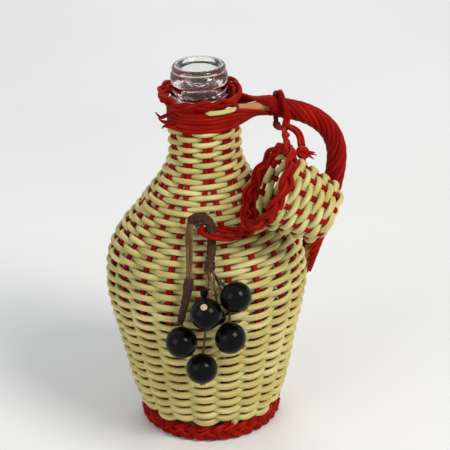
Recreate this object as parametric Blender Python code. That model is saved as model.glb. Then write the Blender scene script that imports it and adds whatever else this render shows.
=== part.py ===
"""Wicker-covered glass bottle with a wrapped side handle.

A small wicker cup is tied to the handle, and a bunch of artificial berries hangs from the cup's rim.
Metres, +Z up, origin under the middle of the base. The handle lies in the XZ plane, on the +X side.
"""

import math
from dataclasses import dataclass

import bmesh
import bpy
import numpy as np
from mathutils import Matrix, Vector

# Clearances
TOUCH_GAP = 0.0003
CUP_REST_GAP = 0.0005
STAKE_GAP = 0.0005
LOOP_SLACK = 0.0006

# Glass bottle
BOTTLE_HEIGHT = 0.1915
GLASS_HEEL_RADIUS = 0.0301
GLASS_HEEL_HEIGHT = 0.0112
GLASS_FOOT_RADIUS = 0.0262
GLASS_BELLY_RADIUS = 0.04465
GLASS_BELLY_HEIGHT = 0.080
GLASS_NECK_RADIUS = 0.0121
GLASS_NECK_LENGTH = 0.0435
GLASS_WALL = 0.0025
GLASS_FLOOR = 0.0042
GLASS_BORE_RADIUS = 0.00915
GLASS_LIP_RADIUS = 0.01295
GLASS_LIP_DEPTH = 0.0030
GLASS_LIP_ROUND = 0.0009
GLASS_RING_RADIUS = 0.0140
GLASS_RING_DROP = 0.0062
GLASS_RING_HALF_HEIGHT = 0.0030
GLASS_COLLAR_RADIUS = 0.0134
GLASS_BEAD_RADIUS = 0.0143
GLASS_BEAD_DROP = 0.0142
GLASS_BEAD_HALF_HEIGHT = 0.0018

# Share of the rise from heel to belly, and share of the widening that it brings
LOWER_BODY_SHARES = ((0.0, 0.0), (0.164, 0.244), (0.376, 0.441), (0.590, 0.651), (0.801, 0.868), (1.0, 1.0))
# Share of the rise from belly to neck, and share of the narrowing that it brings
SHOULDER_SHARES = (
    (0.0, 0.0),
    (0.156, 0.033),
    (0.307, 0.142),
    (0.444, 0.368),
    (0.593, 0.588),
    (0.750, 0.820),
    (0.900, 0.965),
    (1.0, 1.0),
)

# Woven jacket
STAKE_COUNT = 20
STAKE_TURN = math.radians(5.0)
STAKE_RADIUS = 0.0012
STAKE_NECK_RADIUS = 0.0010
PAIR_START_DROP = 0.0417
PAIR_CLOSE_LENGTH = 0.020
SEAM_SHARE = 0.72
BODY_WEAVE_THICKNESS = 0.0033
NECK_WEAVE_THICKNESS = 0.0020
# The relief of the weave: how far apart its courses lie, how deep it is as a share of the weave's
# thickness, the direction in which the first of its two weavers starts, how deep its middle lies, how
# much wider its crests are than a plain wave's, and the share of a course that is kept off its ends
COURSE_PITCH = 0.0027
WEAVE_RELIEF_SHARE = 0.75
FIRST_WEAVER_TURN = math.radians(100.0)
BODY_MIDDLE_DEPTH = 0.00307
NECK_MIDDLE_DEPTH = 0.00252
CREST_WIDENING = 0.25
COURSE_END_SHARE = 1 / 3
JACKET_LEAN = 0.0017

# Base and borders
BASE_THICKNESS = 0.0060
FOOT_CLEARANCE = 0.0013
FOOT_WIDTH = 0.0061
FOOT_HEIGHT = 0.0087
RIM_CLEARANCE = 0.0006
RIM_WIDTH = 0.0054
RIM_HEIGHT = 0.0062
RIM_TOP_DROP = 0.0119
BORDER_EDGE_SHARE = 0.28

# Handle
HANDLE_START_DROP = 0.0036
HANDLE_REACH = 0.0678
HANDLE_REACH_DROP = 0.0288
HANDLE_SIDE_DROP = 0.0665
HANDLE_SEAT_DEPTH = 0.0012
HANDLE_CORE_RADIUS = 0.0029
STRAND_COUNT = 10
STRAND_RADIUS = 0.00095
STRAND_GAP = 0.0004
STRAND_TURNS = 2.2
WRAP_START_SHARE = 0.125
WRAP_EASE_SHARE = 0.15
STRAND_END_TURN = math.radians(5.0)
# Share of the way out from the neck to the reach, and share of the drop that it brings
HANDLE_TOP_SHARES = (
    (0.0, 0.0),
    (0.157, 0.049),
    (0.315, 0.097),
    (0.492, 0.181),
    (0.669, 0.285),
    (0.827, 0.458),
    (0.945, 0.701),
    (1.0, 1.0),
)
# Share of the way back in from the reach to the seat, and share of the drop that it brings
HANDLE_SIDE_SHARES = (
    (0.011, 0.140),
    (0.100, 0.266),
    (0.251, 0.420),
    (0.475, 0.594),
    (0.687, 0.750),
    (0.883, 0.890),
    (1.0, 1.0),
)

# Hanging cup
CUP_LENGTH = 0.0320
CUP_MOUTH_RADIUS = 0.0203
CUP_END_RADIUS = 0.0165
CUP_END_ROUND = 0.0030
CUP_WALL = 0.0030
CUP_STAKE_COUNT = 12
CUP_COURSE_PITCH = 0.0034
CUP_RIM_RADIUS = 0.0197
CUP_RIM_THICKNESS = 0.0042
CUP_AZIMUTH = math.radians(-55.5)
CUP_DROP = 0.0292
CUP_YAW = math.radians(-1.5)
CUP_TILT = math.radians(-31.0)

# Tie of the cup
TIE_RADIUS = 0.0012
TIE_GAP = 0.0006
TIE_PLACE_SHARE = 0.335
TIE_SPREAD = 0.0020
TIE_SAG = 0.0015
TIE_KNOT_RADIUS = 0.0031
TIE_KNOT_TURN = math.radians(-24.0)
TIE_KNOT_BACK = 0.0072

# Loop of cane that carries the berries
LOOP_RADIUS = 0.0011
LOOP_DROP = 0.0246
LOOP_BEND_AZIMUTH = math.radians(-100.3)
LOOP_LEG_AZIMUTH = math.radians(-95.2)
LOOP_START_AZIMUTH = math.radians(-66.5)

# Berry bunch
TWIG_RADIUS = 0.0020
TWIG_TIP_RADIUS = 0.0013
STEM_RADIUS = 0.00055
BERRY_RADIUS = 0.0075
SMALL_BERRY_SHARE = 0.44
BUD_RADIUS = 0.0019
BUD_STRETCH = 1.5
CALYX_RADIUS = 0.0014
CALYX_LENGTH = 0.0014
BUNCH_DROP_SHARE = 7.813
BUNCH_WIDTH_SHARE = 3.0

# Finish
RING_SEGMENTS = 36
CUP_SEGMENTS = 24
BERRY_SEGMENTS = 12
BERRY_RINGS = 8
PROFILE_STEPS = 20
BODY_LINING_STEPS = 10
NECK_LINING_STEPS = 7
CUP_LINING_STEPS = 2
CUP_STATIONS = 40

# Sizes that follow from the others
STRAND_PITCH = 2 * STRAND_RADIUS + STRAND_GAP
BAND_LEVELS = STRAND_COUNT // 2
GLASS_SOLE_HEIGHT = BASE_THICKNESS + TOUCH_GAP
GLASS_NECK_HEIGHT = BOTTLE_HEIGHT - GLASS_NECK_LENGTH
STRAND_RING_RADIUS = HANDLE_CORE_RADIUS + TOUCH_GAP + STRAND_RADIUS
HANDLE_RADIUS = STRAND_RING_RADIUS + STRAND_RADIUS
FOOT_INNER_RADIUS = GLASS_HEEL_RADIUS + FOOT_CLEARANCE
FOOT_OUTER_RADIUS = FOOT_INNER_RADIUS + FOOT_WIDTH
FOOT_EDGE_ROUND = BORDER_EDGE_SHARE * FOOT_WIDTH
RIM_EDGE_ROUND = BORDER_EDGE_SHARE * RIM_WIDTH
RIM_INNER_RADIUS = GLASS_BEAD_RADIUS + RIM_CLEARANCE
RIM_OUTER_RADIUS = RIM_INNER_RADIUS + RIM_WIDTH
RIM_TOP = BOTTLE_HEIGHT - RIM_TOP_DROP
RIM_BOTTOM = RIM_TOP - RIM_HEIGHT
JACKET_TOP_HEIGHT = RIM_BOTTOM - 2 * TOUCH_GAP - 2 * STRAND_RADIUS - (BAND_LEVELS - 1) * STRAND_PITCH
HANDLE_NECK_HEIGHT = RIM_BOTTOM - HANDLE_START_DROP
HANDLE_REACH_HEIGHT = HANDLE_NECK_HEIGHT - HANDLE_REACH_DROP
HANDLE_LOW_HEIGHT = HANDLE_REACH_HEIGHT - HANDLE_SIDE_DROP
CUP_HEIGHT = HANDLE_NECK_HEIGHT - CUP_DROP
LOOP_HEIGHT = CUP_HEIGHT - LOOP_DROP
SMALL_BERRY_RADIUS = BERRY_RADIUS * SMALL_BERRY_SHARE
BUNCH_DROP = BERRY_RADIUS * BUNCH_DROP_SHARE
BUNCH_WIDTH = BERRY_RADIUS * BUNCH_WIDTH_SHARE

RED = (0.55, 0.02, 0.015, 1.0)
CREAM = (0.78, 0.70, 0.42, 1.0)
TAN = (0.62, 0.42, 0.20, 1.0)
BARK = (0.16, 0.075, 0.05, 1.0)
BLACK = (0.010, 0.010, 0.012, 1.0)
ORANGE_BROWN = (0.25, 0.16, 0.07, 1.0)
CLEAR = (0.85, 0.90, 0.88, 1.0)


def clear_scene():
    """Removes every object that the scene starts with."""
    for obj in list(bpy.data.objects):
        bpy.data.objects.remove(obj, do_unlink=True)


def make_material(name, color, roughness, metallic=0.0, transmission=0.0):
    """Makes a material of one Principled shader."""
    material = bpy.data.materials.new(name)
    material.use_nodes = True
    shader = material.node_tree.nodes["Principled BSDF"]
    shader.inputs["Base Color"].default_value = color
    shader.inputs["Roughness"].default_value = roughness
    shader.inputs["Metallic"].default_value = metallic
    shader.inputs["Transmission Weight"].default_value = transmission
    material.diffuse_color = color
    return material


def smooth_step(value):
    """Goes from 0 to 1 with level ends."""
    value = min(max(value, 0.0), 1.0)
    return value * value * (3.0 - 2.0 * value)


def read_shares(shares, value):
    """Reads a table of shares as one smooth curve through its points."""
    places = np.array(shares)
    slopes = np.gradient(places[:, 1], places[:, 0])
    slopes[-1] = 0.0
    value = min(max(value, 0.0), 1.0)
    k = min(int(np.searchsorted(places[:, 0], value, side="right")) - 1, len(places) - 2)
    width = places[k + 1, 0] - places[k, 0]
    t = (value - places[k, 0]) / width
    ends = (2 * t**3 - 3 * t**2 + 1) * places[k, 1] + (3 * t**2 - 2 * t**3) * places[k + 1, 1]
    turns = (t**3 - 2 * t**2 + t) * slopes[k] + (t**3 - t**2) * slopes[k + 1]
    return float(ends + turns * width)


def glass_radius(height):
    """Gives the outer radius of the glass, from its heel to the top of its neck."""
    if height <= GLASS_BELLY_HEIGHT:
        share = (height - GLASS_HEEL_HEIGHT) / (GLASS_BELLY_HEIGHT - GLASS_HEEL_HEIGHT)
        widening = GLASS_BELLY_RADIUS - GLASS_HEEL_RADIUS
        return GLASS_HEEL_RADIUS + widening * read_shares(LOWER_BODY_SHARES, share)
    share = (height - GLASS_BELLY_HEIGHT) / (GLASS_NECK_HEIGHT - GLASS_BELLY_HEIGHT)
    narrowing = GLASS_BELLY_RADIUS - GLASS_NECK_RADIUS
    return GLASS_BELLY_RADIUS - narrowing * read_shares(SHOULDER_SHARES, share)


def neck_share(height):
    """Says how far a height is on the way from the belly to the neck."""
    return smooth_step((height - GLASS_BELLY_HEIGHT) / (GLASS_NECK_HEIGHT - GLASS_BELLY_HEIGHT))


def mixed(body_value, neck_value, height):
    """Goes from the body's value to the neck's value."""
    return body_value + (neck_value - body_value) * neck_share(height)


def stake_radius(height):
    """Gives the radius of a stake, which is thinner at the neck."""
    return mixed(STAKE_RADIUS, STAKE_NECK_RADIUS, height)


def lean(height):
    """Says how far the jacket's middle lies towards the handle."""
    return JACKET_LEAN * neck_share(height)


class Layers:
    """The layers over the glass, each a fixed distance off it, read at stations along its side."""

    def __init__(self):
        """Samples the side of the glass and its outward direction."""
        count = 120
        step = (JACKET_TOP_HEIGHT - GLASS_HEEL_HEIGHT) / count
        heights = [GLASS_HEEL_HEIGHT + step * k for k in range(count + 1)]
        self.side = np.array([(glass_radius(height), height) for height in heights])
        along = np.gradient(self.side, axis=0)
        along /= np.linalg.norm(along, axis=1)[:, None]
        self.out = np.stack([along[:, 1], -along[:, 0]], axis=1)

    def offset(self, depth_of):
        """Gives radius and height of each station, off the glass by a distance read at its height."""
        depths = np.array([depth_of(height) for height in self.side[:, 1]])
        return self.side + self.out * depths[:, None]

    def jacket_outside(self):
        """Gives the jacket's outer line."""
        return self.offset(lambda z: inner_depth(z) + mixed(BODY_WEAVE_THICKNESS, NECK_WEAVE_THICKNESS, z))

    def jacket_inside(self):
        """Gives the jacket's inner line."""
        return self.offset(inner_depth)

    def stake_line(self):
        """Gives the line that the stakes follow."""
        return self.offset(lambda z: inner_depth(z) - STAKE_GAP - stake_radius(z))


def inner_depth(height):
    """Gives the distance from the glass to the inside of the woven jacket."""
    return STAKE_GAP + 2 * stake_radius(height) + STAKE_GAP + lean(height)


def read_line(line, height):
    """Reads the radius of a line of radius and height at one height."""
    return float(np.interp(height, line[:, 1], line[:, 0]))


def add_object(name, mesh, material, parent=None):
    """Puts a mesh in the scene as one named piece."""
    mesh.name = name
    mesh.materials.append(material)
    obj = bpy.data.objects.new(name, mesh)
    bpy.context.scene.collection.objects.link(obj)
    hold(obj, parent)
    return obj


def hold(obj, parent):
    """Parents a piece to an empty and leaves it where it is."""
    if parent is not None:
        obj.parent = parent
        obj.matrix_parent_inverse = Matrix.Translation(-parent.location)


def turned_mesh(profile, segments, place=None):
    """Turns a closed profile of radius, height and sideways shift about Z, and places it."""
    mesh = bpy.data.meshes.new("turned")
    solid = bmesh.new()
    rings = []
    for radius, height, shift in profile:
        if radius <= 0.0:
            rings.append([solid.verts.new((shift, 0.0, height))])
            continue
        angles = [2 * math.pi * k / segments for k in range(segments)]
        spots = [(shift + radius * math.cos(a), radius * math.sin(a), height) for a in angles]
        rings.append([solid.verts.new(spot) for spot in spots])
    pole_to_pole = len(rings[0]) == 1 and len(rings[-1]) == 1
    for k in range(len(rings) - 1 if pole_to_pole else len(rings)):
        join_rings(solid, rings[k], rings[(k + 1) % len(rings)])
    bmesh.ops.recalc_face_normals(solid, faces=solid.faces)
    if place is not None:
        solid.transform(place)
    solid.to_mesh(mesh)
    solid.free()
    mesh.shade_smooth()
    mesh.set_sharp_from_angle(angle=math.radians(40))
    return mesh


def join_rings(solid, lower, upper):
    """Fills the band between two rings, where either may be one point."""
    count = max(len(lower), len(upper))
    for k in range(count):
        corners = [lower[k % len(lower)], lower[(k + 1) % len(lower)]]
        corners += [upper[(k + 1) % len(upper)], upper[k % len(upper)]]
        distinct = list(dict.fromkeys(corners))
        if len(distinct) > 2:
            solid.faces.new(distinct)


def tube(name, points, radius, material, resolution=1, radii=None, parent=None):
    """Makes a round rod along the points, with closed ends."""
    curve = bpy.data.curves.new(name, "CURVE")
    curve.dimensions = "3D"
    curve.bevel_depth = radius
    curve.bevel_resolution = resolution
    curve.use_fill_caps = True
    curve.render_resolution_u = 0
    curve.twist_mode = "MINIMUM"
    spline = curve.splines.new("POLY")
    spline.points.add(len(points) - 1)
    for k, point in enumerate(points):
        spline.points[k].co = (*point, 1.0)
        spline.points[k].radius = 1.0 if radii is None else radii[k] / radius
        spline.use_smooth = True
    curve.materials.append(material)
    obj = bpy.data.objects.new(name, curve)
    bpy.context.scene.collection.objects.link(obj)
    hold(obj, parent)
    return obj


def smooth_route(points, count):
    """Reads evenly spaced points from a smooth curve through the points."""
    points = np.array([tuple(point) for point in points])
    padded = np.vstack([2 * points[0] - points[1], points, 2 * points[-1] - points[-2]])
    fine = []
    for k in range(len(points) - 1):
        p0, p1, p2, p3 = padded[k : k + 4]
        for t in np.linspace(0.0, 1.0, 24, endpoint=False):
            a = 2 * p1 + (p2 - p0) * t
            b = (2 * p0 - 5 * p1 + 4 * p2 - p3) * t**2
            c = (3 * p1 - p0 - 3 * p2 + p3) * t**3
            fine.append(0.5 * (a + b + c))
    fine = np.array([*fine, points[-1]])
    run = np.concatenate([[0.0], np.cumsum(np.linalg.norm(np.diff(fine, axis=0), axis=1))])
    wanted = np.linspace(0.0, run[-1], count)
    return np.stack([np.interp(wanted, run, fine[:, axis]) for axis in range(3)], axis=1)


def dense_route(points):
    """Reads points at close, even steps along straight pieces between the points."""
    points = np.array(points)
    run = np.concatenate([[0.0], np.cumsum(np.linalg.norm(np.diff(points, axis=0), axis=1))])
    wanted = np.linspace(0.0, run[-1], 500)
    return np.stack([np.interp(wanted, run, points[:, axis]) for axis in range(3)], axis=1)


def least_gap(first, second, reach):
    """Gives the least free distance between two routes of round rods whose radii add up to the reach."""
    apart = np.linalg.norm(first[:, None, :] - second[None, :, :], axis=2)
    return float(apart.min()) - reach


class Jacket:
    """The surface that the handle, the cup and the berries rest on."""

    def __init__(self, layers):
        """Keeps the jacket's outer line."""
        self.line = layers.jacket_outside()

    def radius(self, height):
        """Gives the radius at a height."""
        return read_line(self.line, height)

    def spot(self, azimuth, height, lift):
        """Gives the place that lies off the surface by the lift, square to it."""
        step = GLASS_WALL
        slope = (self.radius(height + step) - self.radius(height - step)) / (2 * step)
        tilt = math.hypot(1.0, slope)
        distance = self.radius(height) + lift / tilt
        x = lean(height) + distance * math.cos(azimuth)
        return Vector((x, distance * math.sin(azimuth), height - slope * lift / tilt))

    def gap(self, point):
        """Gives the free distance from a point to the surface."""
        x, y, z = point
        height = min(max(z, self.line[0, 1]), RIM_TOP)
        step = GLASS_WALL
        slope = (self.radius(height + step) - self.radius(height - step)) / (2 * step)
        radius = RIM_OUTER_RADIUS if height > JACKET_TOP_HEIGHT else self.radius(height)
        return (math.hypot(x - lean(height), y) - radius) / math.hypot(1.0, slope)


def build_glass(layers, material):
    """Builds the bottle with its hollow and its finish."""
    side = layers.side[:: len(layers.side) // PROFILE_STEPS]
    outside = [(0.0, GLASS_SOLE_HEIGHT), (GLASS_FOOT_RADIUS, GLASS_SOLE_HEIGHT)]
    heel_height = (GLASS_SOLE_HEIGHT + GLASS_HEEL_HEIGHT) / 2
    outside.append(((GLASS_FOOT_RADIUS + 2 * GLASS_HEEL_RADIUS) / 3, heel_height))
    outside += [tuple(place) for place in side if place[1] < GLASS_NECK_HEIGHT]
    bead = BOTTLE_HEIGHT - GLASS_BEAD_DROP
    ring = BOTTLE_HEIGHT - GLASS_RING_DROP
    lip = BOTTLE_HEIGHT - GLASS_LIP_DEPTH
    outside += [
        (GLASS_NECK_RADIUS, GLASS_NECK_HEIGHT),
        (GLASS_NECK_RADIUS, bead - GLASS_BEAD_HALF_HEIGHT),
        (GLASS_BEAD_RADIUS, bead),
        (GLASS_COLLAR_RADIUS, bead + GLASS_BEAD_HALF_HEIGHT),
        (GLASS_COLLAR_RADIUS, ring - GLASS_RING_HALF_HEIGHT),
        (GLASS_RING_RADIUS, ring),
        (GLASS_LIP_RADIUS, ring + GLASS_RING_HALF_HEIGHT),
        (GLASS_LIP_RADIUS, lip + GLASS_LIP_ROUND),
        (GLASS_LIP_RADIUS, BOTTLE_HEIGHT - GLASS_LIP_ROUND),
        (GLASS_LIP_RADIUS - GLASS_LIP_ROUND, BOTTLE_HEIGHT),
    ]
    inside = [(GLASS_BORE_RADIUS + GLASS_LIP_ROUND, BOTTLE_HEIGHT)]
    inside.append((GLASS_BORE_RADIUS, BOTTLE_HEIGHT - GLASS_LIP_ROUND))
    hollow = layers.offset(lambda z: -GLASS_WALL)[:: 2 * (len(layers.side) // PROFILE_STEPS)]
    hollow = [tuple(place) for place in hollow if place[0] > GLASS_BORE_RADIUS + GLASS_LIP_ROUND]
    inside.append((GLASS_BORE_RADIUS, GLASS_NECK_HEIGHT))
    floor = GLASS_SOLE_HEIGHT + GLASS_FLOOR
    inside += [place for place in reversed(hollow) if place[1] > floor + GLASS_WALL]
    inside += [(GLASS_FOOT_RADIUS, floor), (0.0, floor)]
    profile = [(radius, height, 0.0) for radius, height in outside + inside]
    return add_object("glass_bottle", turned_mesh(profile, RING_SEGMENTS), material)


def weave_wave(angle, crests, first_crest):
    """Says how far the first weaver stands in front of the stakes, from 1 down to -1 behind them."""
    crest = math.cos(crests * (angle - first_crest))
    return (1 + CREST_WIDENING) * crest - CREST_WIDENING * crest**3


@dataclass
class WeaveZone:
    """One zone of weave, a closed shell whose courses pass in front of one stake and behind the next.

    Its lines are pairs of radius and height at the same stations, and run is the length along them.
    """

    outside: np.ndarray
    inside: np.ndarray
    out: np.ndarray
    run: np.ndarray
    thickness: np.ndarray
    shift: np.ndarray
    columns: int
    first_column: float
    crests: float
    first_crest: float
    first_weaver: float
    pitch: float
    lining_steps: int
    closed_end: bool = False

    def read(self, line, station):
        """Reads a line at a station."""
        stations = np.arange(len(self.run), dtype=float)
        if line.ndim == 1:
            return float(np.interp(station, stations, line))
        return np.array([np.interp(station, stations, line[:, axis]) for axis in range(2)])

    def corner(self, solid, line, angle, station, sink):
        """Makes a corner on a line in one direction, sunk into the weave by a distance."""
        radius, height = self.read(line, station) - self.read(self.out, station) * sink
        x = self.read(self.shift, station) + radius * math.cos(angle)
        return station, solid.verts.new((x, radius * math.sin(angle), height))

    def outer_column(self, solid, angle):
        """Makes the corners of the outside in one direction, as pairs of station and corner."""
        last = float(len(self.run) - 1)
        start = self.pitch * (angle - self.first_weaver) / math.pi
        free = self.pitch * COURSE_END_SHARE
        number = math.ceil((self.run[0] + free - start) / self.pitch)
        column = [self.corner(solid, self.outside, angle, 0.0, self.relief(0.0) / 2)]
        while start + number * self.pitch < self.run[-1] - free:
            station = float(np.interp(start + number * self.pitch, self.run, np.arange(len(self.run))))
            wave = weave_wave(angle, self.crests, self.first_crest) * (1 if number % 2 == 0 else -1)
            column.append(self.corner(solid, self.outside, angle, station, self.relief(station) * (1 - wave) / 2))
            number += 1
        return [*column, self.corner(solid, self.outside, angle, last, self.relief(last) / 2)]

    def relief(self, station):
        """Gives how deep the weave's relief is at a station."""
        return WEAVE_RELIEF_SHARE * self.read(self.thickness, station)

    def inner_column(self, solid, angle):
        """Makes the corners of the lining in one direction."""
        stations = np.linspace(0.0, len(self.run) - 1.0, self.lining_steps + 1)
        return [self.corner(solid, self.inside, angle, station, 0.0) for station in stations]

    def mesh(self, place=None):
        """Makes the zone's mesh, and puts it in place."""
        solid = bmesh.new()
        angles = [self.first_column + 2 * math.pi * k / self.columns for k in range(self.columns)]
        outer = [self.outer_column(solid, angle) for angle in angles]
        inner = [self.inner_column(solid, angle) for angle in angles]
        open_ends = (0,) if self.closed_end else (0, -1)
        for k in range(self.columns):
            after = (k + 1) % self.columns
            join_columns(solid, outer[k], outer[after])
            join_columns(solid, inner[k], inner[after])
            for end in open_ends:
                solid.faces.new((outer[k][end][1], outer[after][end][1], inner[after][end][1], inner[k][end][1]))
        if self.closed_end:
            self.close(solid, outer, self.outside[-1], CUP_END_ROUND)
            self.close(solid, inner, self.inside[-1], CUP_END_ROUND / 2)
        bmesh.ops.recalc_face_normals(solid, faces=solid.faces)
        if place is not None:
            solid.transform(place)
        mesh = bpy.data.meshes.new("weave")
        solid.to_mesh(mesh)
        solid.free()
        mesh.shade_smooth()
        return mesh

    def close(self, solid, columns, edge, turn):
        """Closes the far end from its edge with a turn inwards and a flat disc."""
        radius, height = edge
        corners = [column[-1][1] for column in columns]
        angles = [self.first_column + 2 * math.pi * k / self.columns for k in range(self.columns)]
        spots = [((radius - turn) * math.cos(a), (radius - turn) * math.sin(a), height + turn) for a in angles]
        ring = [solid.verts.new(spot) for spot in spots]
        join_rings(solid, corners, ring)
        join_rings(solid, ring, [solid.verts.new((0.0, 0.0, height + turn))])


def join_columns(solid, left, right):
    """Fills the strip between two columns, each a list of pairs of station and corner."""
    i, j = 0, 0
    while i < len(left) - 1 or j < len(right) - 1:
        left_next = left[i + 1][0] if i < len(left) - 1 else math.inf
        right_next = right[j + 1][0] if j < len(right) - 1 else math.inf
        if left_next <= right_next:
            solid.faces.new((left[i][1], right[j][1], left[i + 1][1]))
            i += 1
        else:
            solid.faces.new((left[i][1], right[j][1], right[j + 1][1]))
            j += 1


def jacket_zone(layers, low, high, paired):
    """Gives one zone of the jacket between two heights of its outer line, round single or paired stakes."""

    def thickness_of(height):
        return mixed(BODY_WEAVE_THICKNESS, NECK_WEAVE_THICKNESS, height)

    outside, inside = layers.jacket_outside(), layers.jacket_inside()
    middle = layers.offset(
        lambda z: inner_depth(z) + thickness_of(z) - mixed(BODY_MIDDLE_DEPTH, NECK_MIDDLE_DEPTH, z)
    )
    steps = np.linalg.norm(np.diff(middle, axis=0), axis=1)
    run = np.concatenate([[0.0], np.cumsum(steps)])
    count = len(run)
    ends = [float(np.interp(height, outside[:, 1], np.arange(count))) for height in (low, high)]
    stations = np.linspace(*ends, count)

    def part_of(line):
        if line.ndim == 1:
            return np.interp(stations, np.arange(count), line)
        return np.stack([np.interp(stations, np.arange(count), line[:, axis]) for axis in range(2)], axis=1)

    heights = part_of(outside)[:, 1]
    crests = STAKE_COUNT / 4 if paired else STAKE_COUNT / 2
    return WeaveZone(
        outside=part_of(outside),
        inside=part_of(inside),
        out=part_of(layers.out),
        run=part_of(run),
        thickness=np.array([thickness_of(height) for height in heights]),
        shift=np.array([lean(height) for height in heights]),
        columns=2 * STAKE_COUNT if paired else STAKE_COUNT,
        first_column=STAKE_TURN,
        crests=crests,
        first_crest=STAKE_TURN + math.pi / STAKE_COUNT if paired else STAKE_TURN,
        first_weaver=FIRST_WEAVER_TURN,
        pitch=COURSE_PITCH,
        lining_steps=NECK_LINING_STEPS if paired else BODY_LINING_STEPS,
    )


def cup_zone():
    """Gives the cup's wall and closed end, with its own Z from its mouth to its closed end."""
    lip = CUP_RIM_THICKNESS / 2 + TOUCH_GAP
    inner_end = CUP_END_RADIUS - CUP_WALL

    def line(start, end):
        return np.linspace(np.array(start), np.array(end), CUP_STATIONS)

    outside = line((CUP_MOUTH_RADIUS, lip), (CUP_END_RADIUS, CUP_LENGTH - CUP_END_ROUND))
    inside_end = CUP_LENGTH - CUP_WALL - CUP_END_ROUND / 2
    inside = line((CUP_MOUTH_RADIUS - CUP_WALL, lip), (inner_end, inside_end))
    along = (outside[-1] - outside[0]) / np.linalg.norm(outside[-1] - outside[0])
    steps = np.linalg.norm(np.diff(outside, axis=0), axis=1)
    return WeaveZone(
        outside=outside,
        inside=inside,
        out=np.broadcast_to([along[1], -along[0]], outside.shape),
        run=np.concatenate([[0.0], np.cumsum(steps)]),
        thickness=np.full(CUP_STATIONS, CUP_WALL),
        shift=np.zeros(CUP_STATIONS),
        columns=CUP_STAKE_COUNT,
        first_column=0.0,
        crests=CUP_STAKE_COUNT / 2,
        first_crest=0.0,
        first_weaver=0.0,
        pitch=CUP_COURSE_PITCH,
        lining_steps=CUP_LINING_STEPS,
        closed_end=True,
    )


def build_ring(name, inner, outer, low, high, edge, shift, segments, material, place=None, parent=None):
    """Builds a border as a ring with rounded edges."""
    profile = [
        (inner + edge, low, shift),
        (outer - edge, low, shift),
        (outer, low + edge, shift),
        (outer, high - edge, shift),
        (outer - edge, high, shift),
        (inner + edge, high, shift),
        (inner, high - edge, shift),
        (inner, low + edge, shift),
    ]
    return add_object(name, turned_mesh(profile, segments, place), material, parent)


def stake_angle(index, height):
    """Gives the direction of a stake, which closes up to its partner at the neck."""
    single = STAKE_TURN + 2 * math.pi * index / STAKE_COUNT
    half_step = math.pi / STAKE_COUNT
    pair_middle = single + (half_step if index % 2 == 0 else -half_step)
    ring = GLASS_NECK_RADIUS + STAKE_GAP + STAKE_NECK_RADIUS + JACKET_LEAN
    half_pair = (STAKE_NECK_RADIUS + TOUCH_GAP / 2) / ring
    paired = pair_middle + (-half_pair if index % 2 == 0 else half_pair)
    share = smooth_step((height - JACKET_TOP_HEIGHT + PAIR_START_DROP) / PAIR_CLOSE_LENGTH)
    return single + (paired - single) * share


def build_stakes(layers, material):
    """Builds the stakes, which run from the foot border to the rim border under the weave."""
    line = layers.stake_line()
    top = RIM_BOTTOM - TOUCH_GAP
    low = max(line[0, 1], FOOT_HEIGHT + TOUCH_GAP + STAKE_RADIUS)
    straight = line[-1, 0]
    count = 16
    heights = [low + (JACKET_TOP_HEIGHT - low) * k / count for k in range(count + 1)] + [top]
    for index in range(STAKE_COUNT):
        points = []
        for height in heights:
            radius = straight if height > line[-1, 1] else read_line(line, height)
            angle = stake_angle(index, height)
            x = lean(height) + radius * math.cos(angle)
            points.append((x, radius * math.sin(angle), height))
        radii = [stake_radius(height) for height in heights]
        tube(f"stake_{index + 1:02d}", points, STAKE_RADIUS, material, resolution=0, radii=radii)


def handle_route(jacket):
    """Gives the middle line of the handle, from the neck to its seat in the jacket."""
    start = lean(JACKET_TOP_HEIGHT) + neck_ring_radius() - STRAND_RADIUS + TOUCH_GAP
    end = jacket.radius(HANDLE_LOW_HEIGHT) - HANDLE_SEAT_DEPTH
    places = []
    for out, drop in HANDLE_TOP_SHARES:
        x = start + (HANDLE_REACH - start) * out
        places.append((x, 0.0, HANDLE_NECK_HEIGHT - (HANDLE_NECK_HEIGHT - HANDLE_REACH_HEIGHT) * drop))
    for back, drop in HANDLE_SIDE_SHARES:
        x = HANDLE_REACH - (HANDLE_REACH - end) * back
        places.append((x, 0.0, HANDLE_REACH_HEIGHT - (HANDLE_REACH_HEIGHT - HANDLE_LOW_HEIGHT) * drop))
    return smooth_route(places, 121)


def neck_ring_radius():
    """Gives the radius of the circle that the handle's strands follow round the neck."""
    stakes_outside = GLASS_NECK_RADIUS + JACKET_LEAN + STAKE_GAP + 2 * STAKE_NECK_RADIUS
    return stakes_outside + TOUCH_GAP + STRAND_RADIUS


def frame_at(route, share):
    """Gives the place, the direction and the upward side of the handle at a share of its length."""
    index = share * (len(route) - 1)
    k = min(int(index), len(route) - 2)
    spot = route[k] + (route[k + 1] - route[k]) * (index - k)
    low, high = max(k - 1, 0), min(k + 2, len(route) - 1)
    along = Vector(route[high] - route[low]).normalized()
    side = Vector((0.0, -1.0, 0.0))
    return Vector(spot), along, side.cross(along), side


def eased(share):
    """Starts level and grows to a steady slope that ends at 1."""
    start = WRAP_EASE_SHARE
    if share < start:
        return share**2 / start / (2.0 - start)
    return (2 * share - start) / (2.0 - start)


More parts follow.
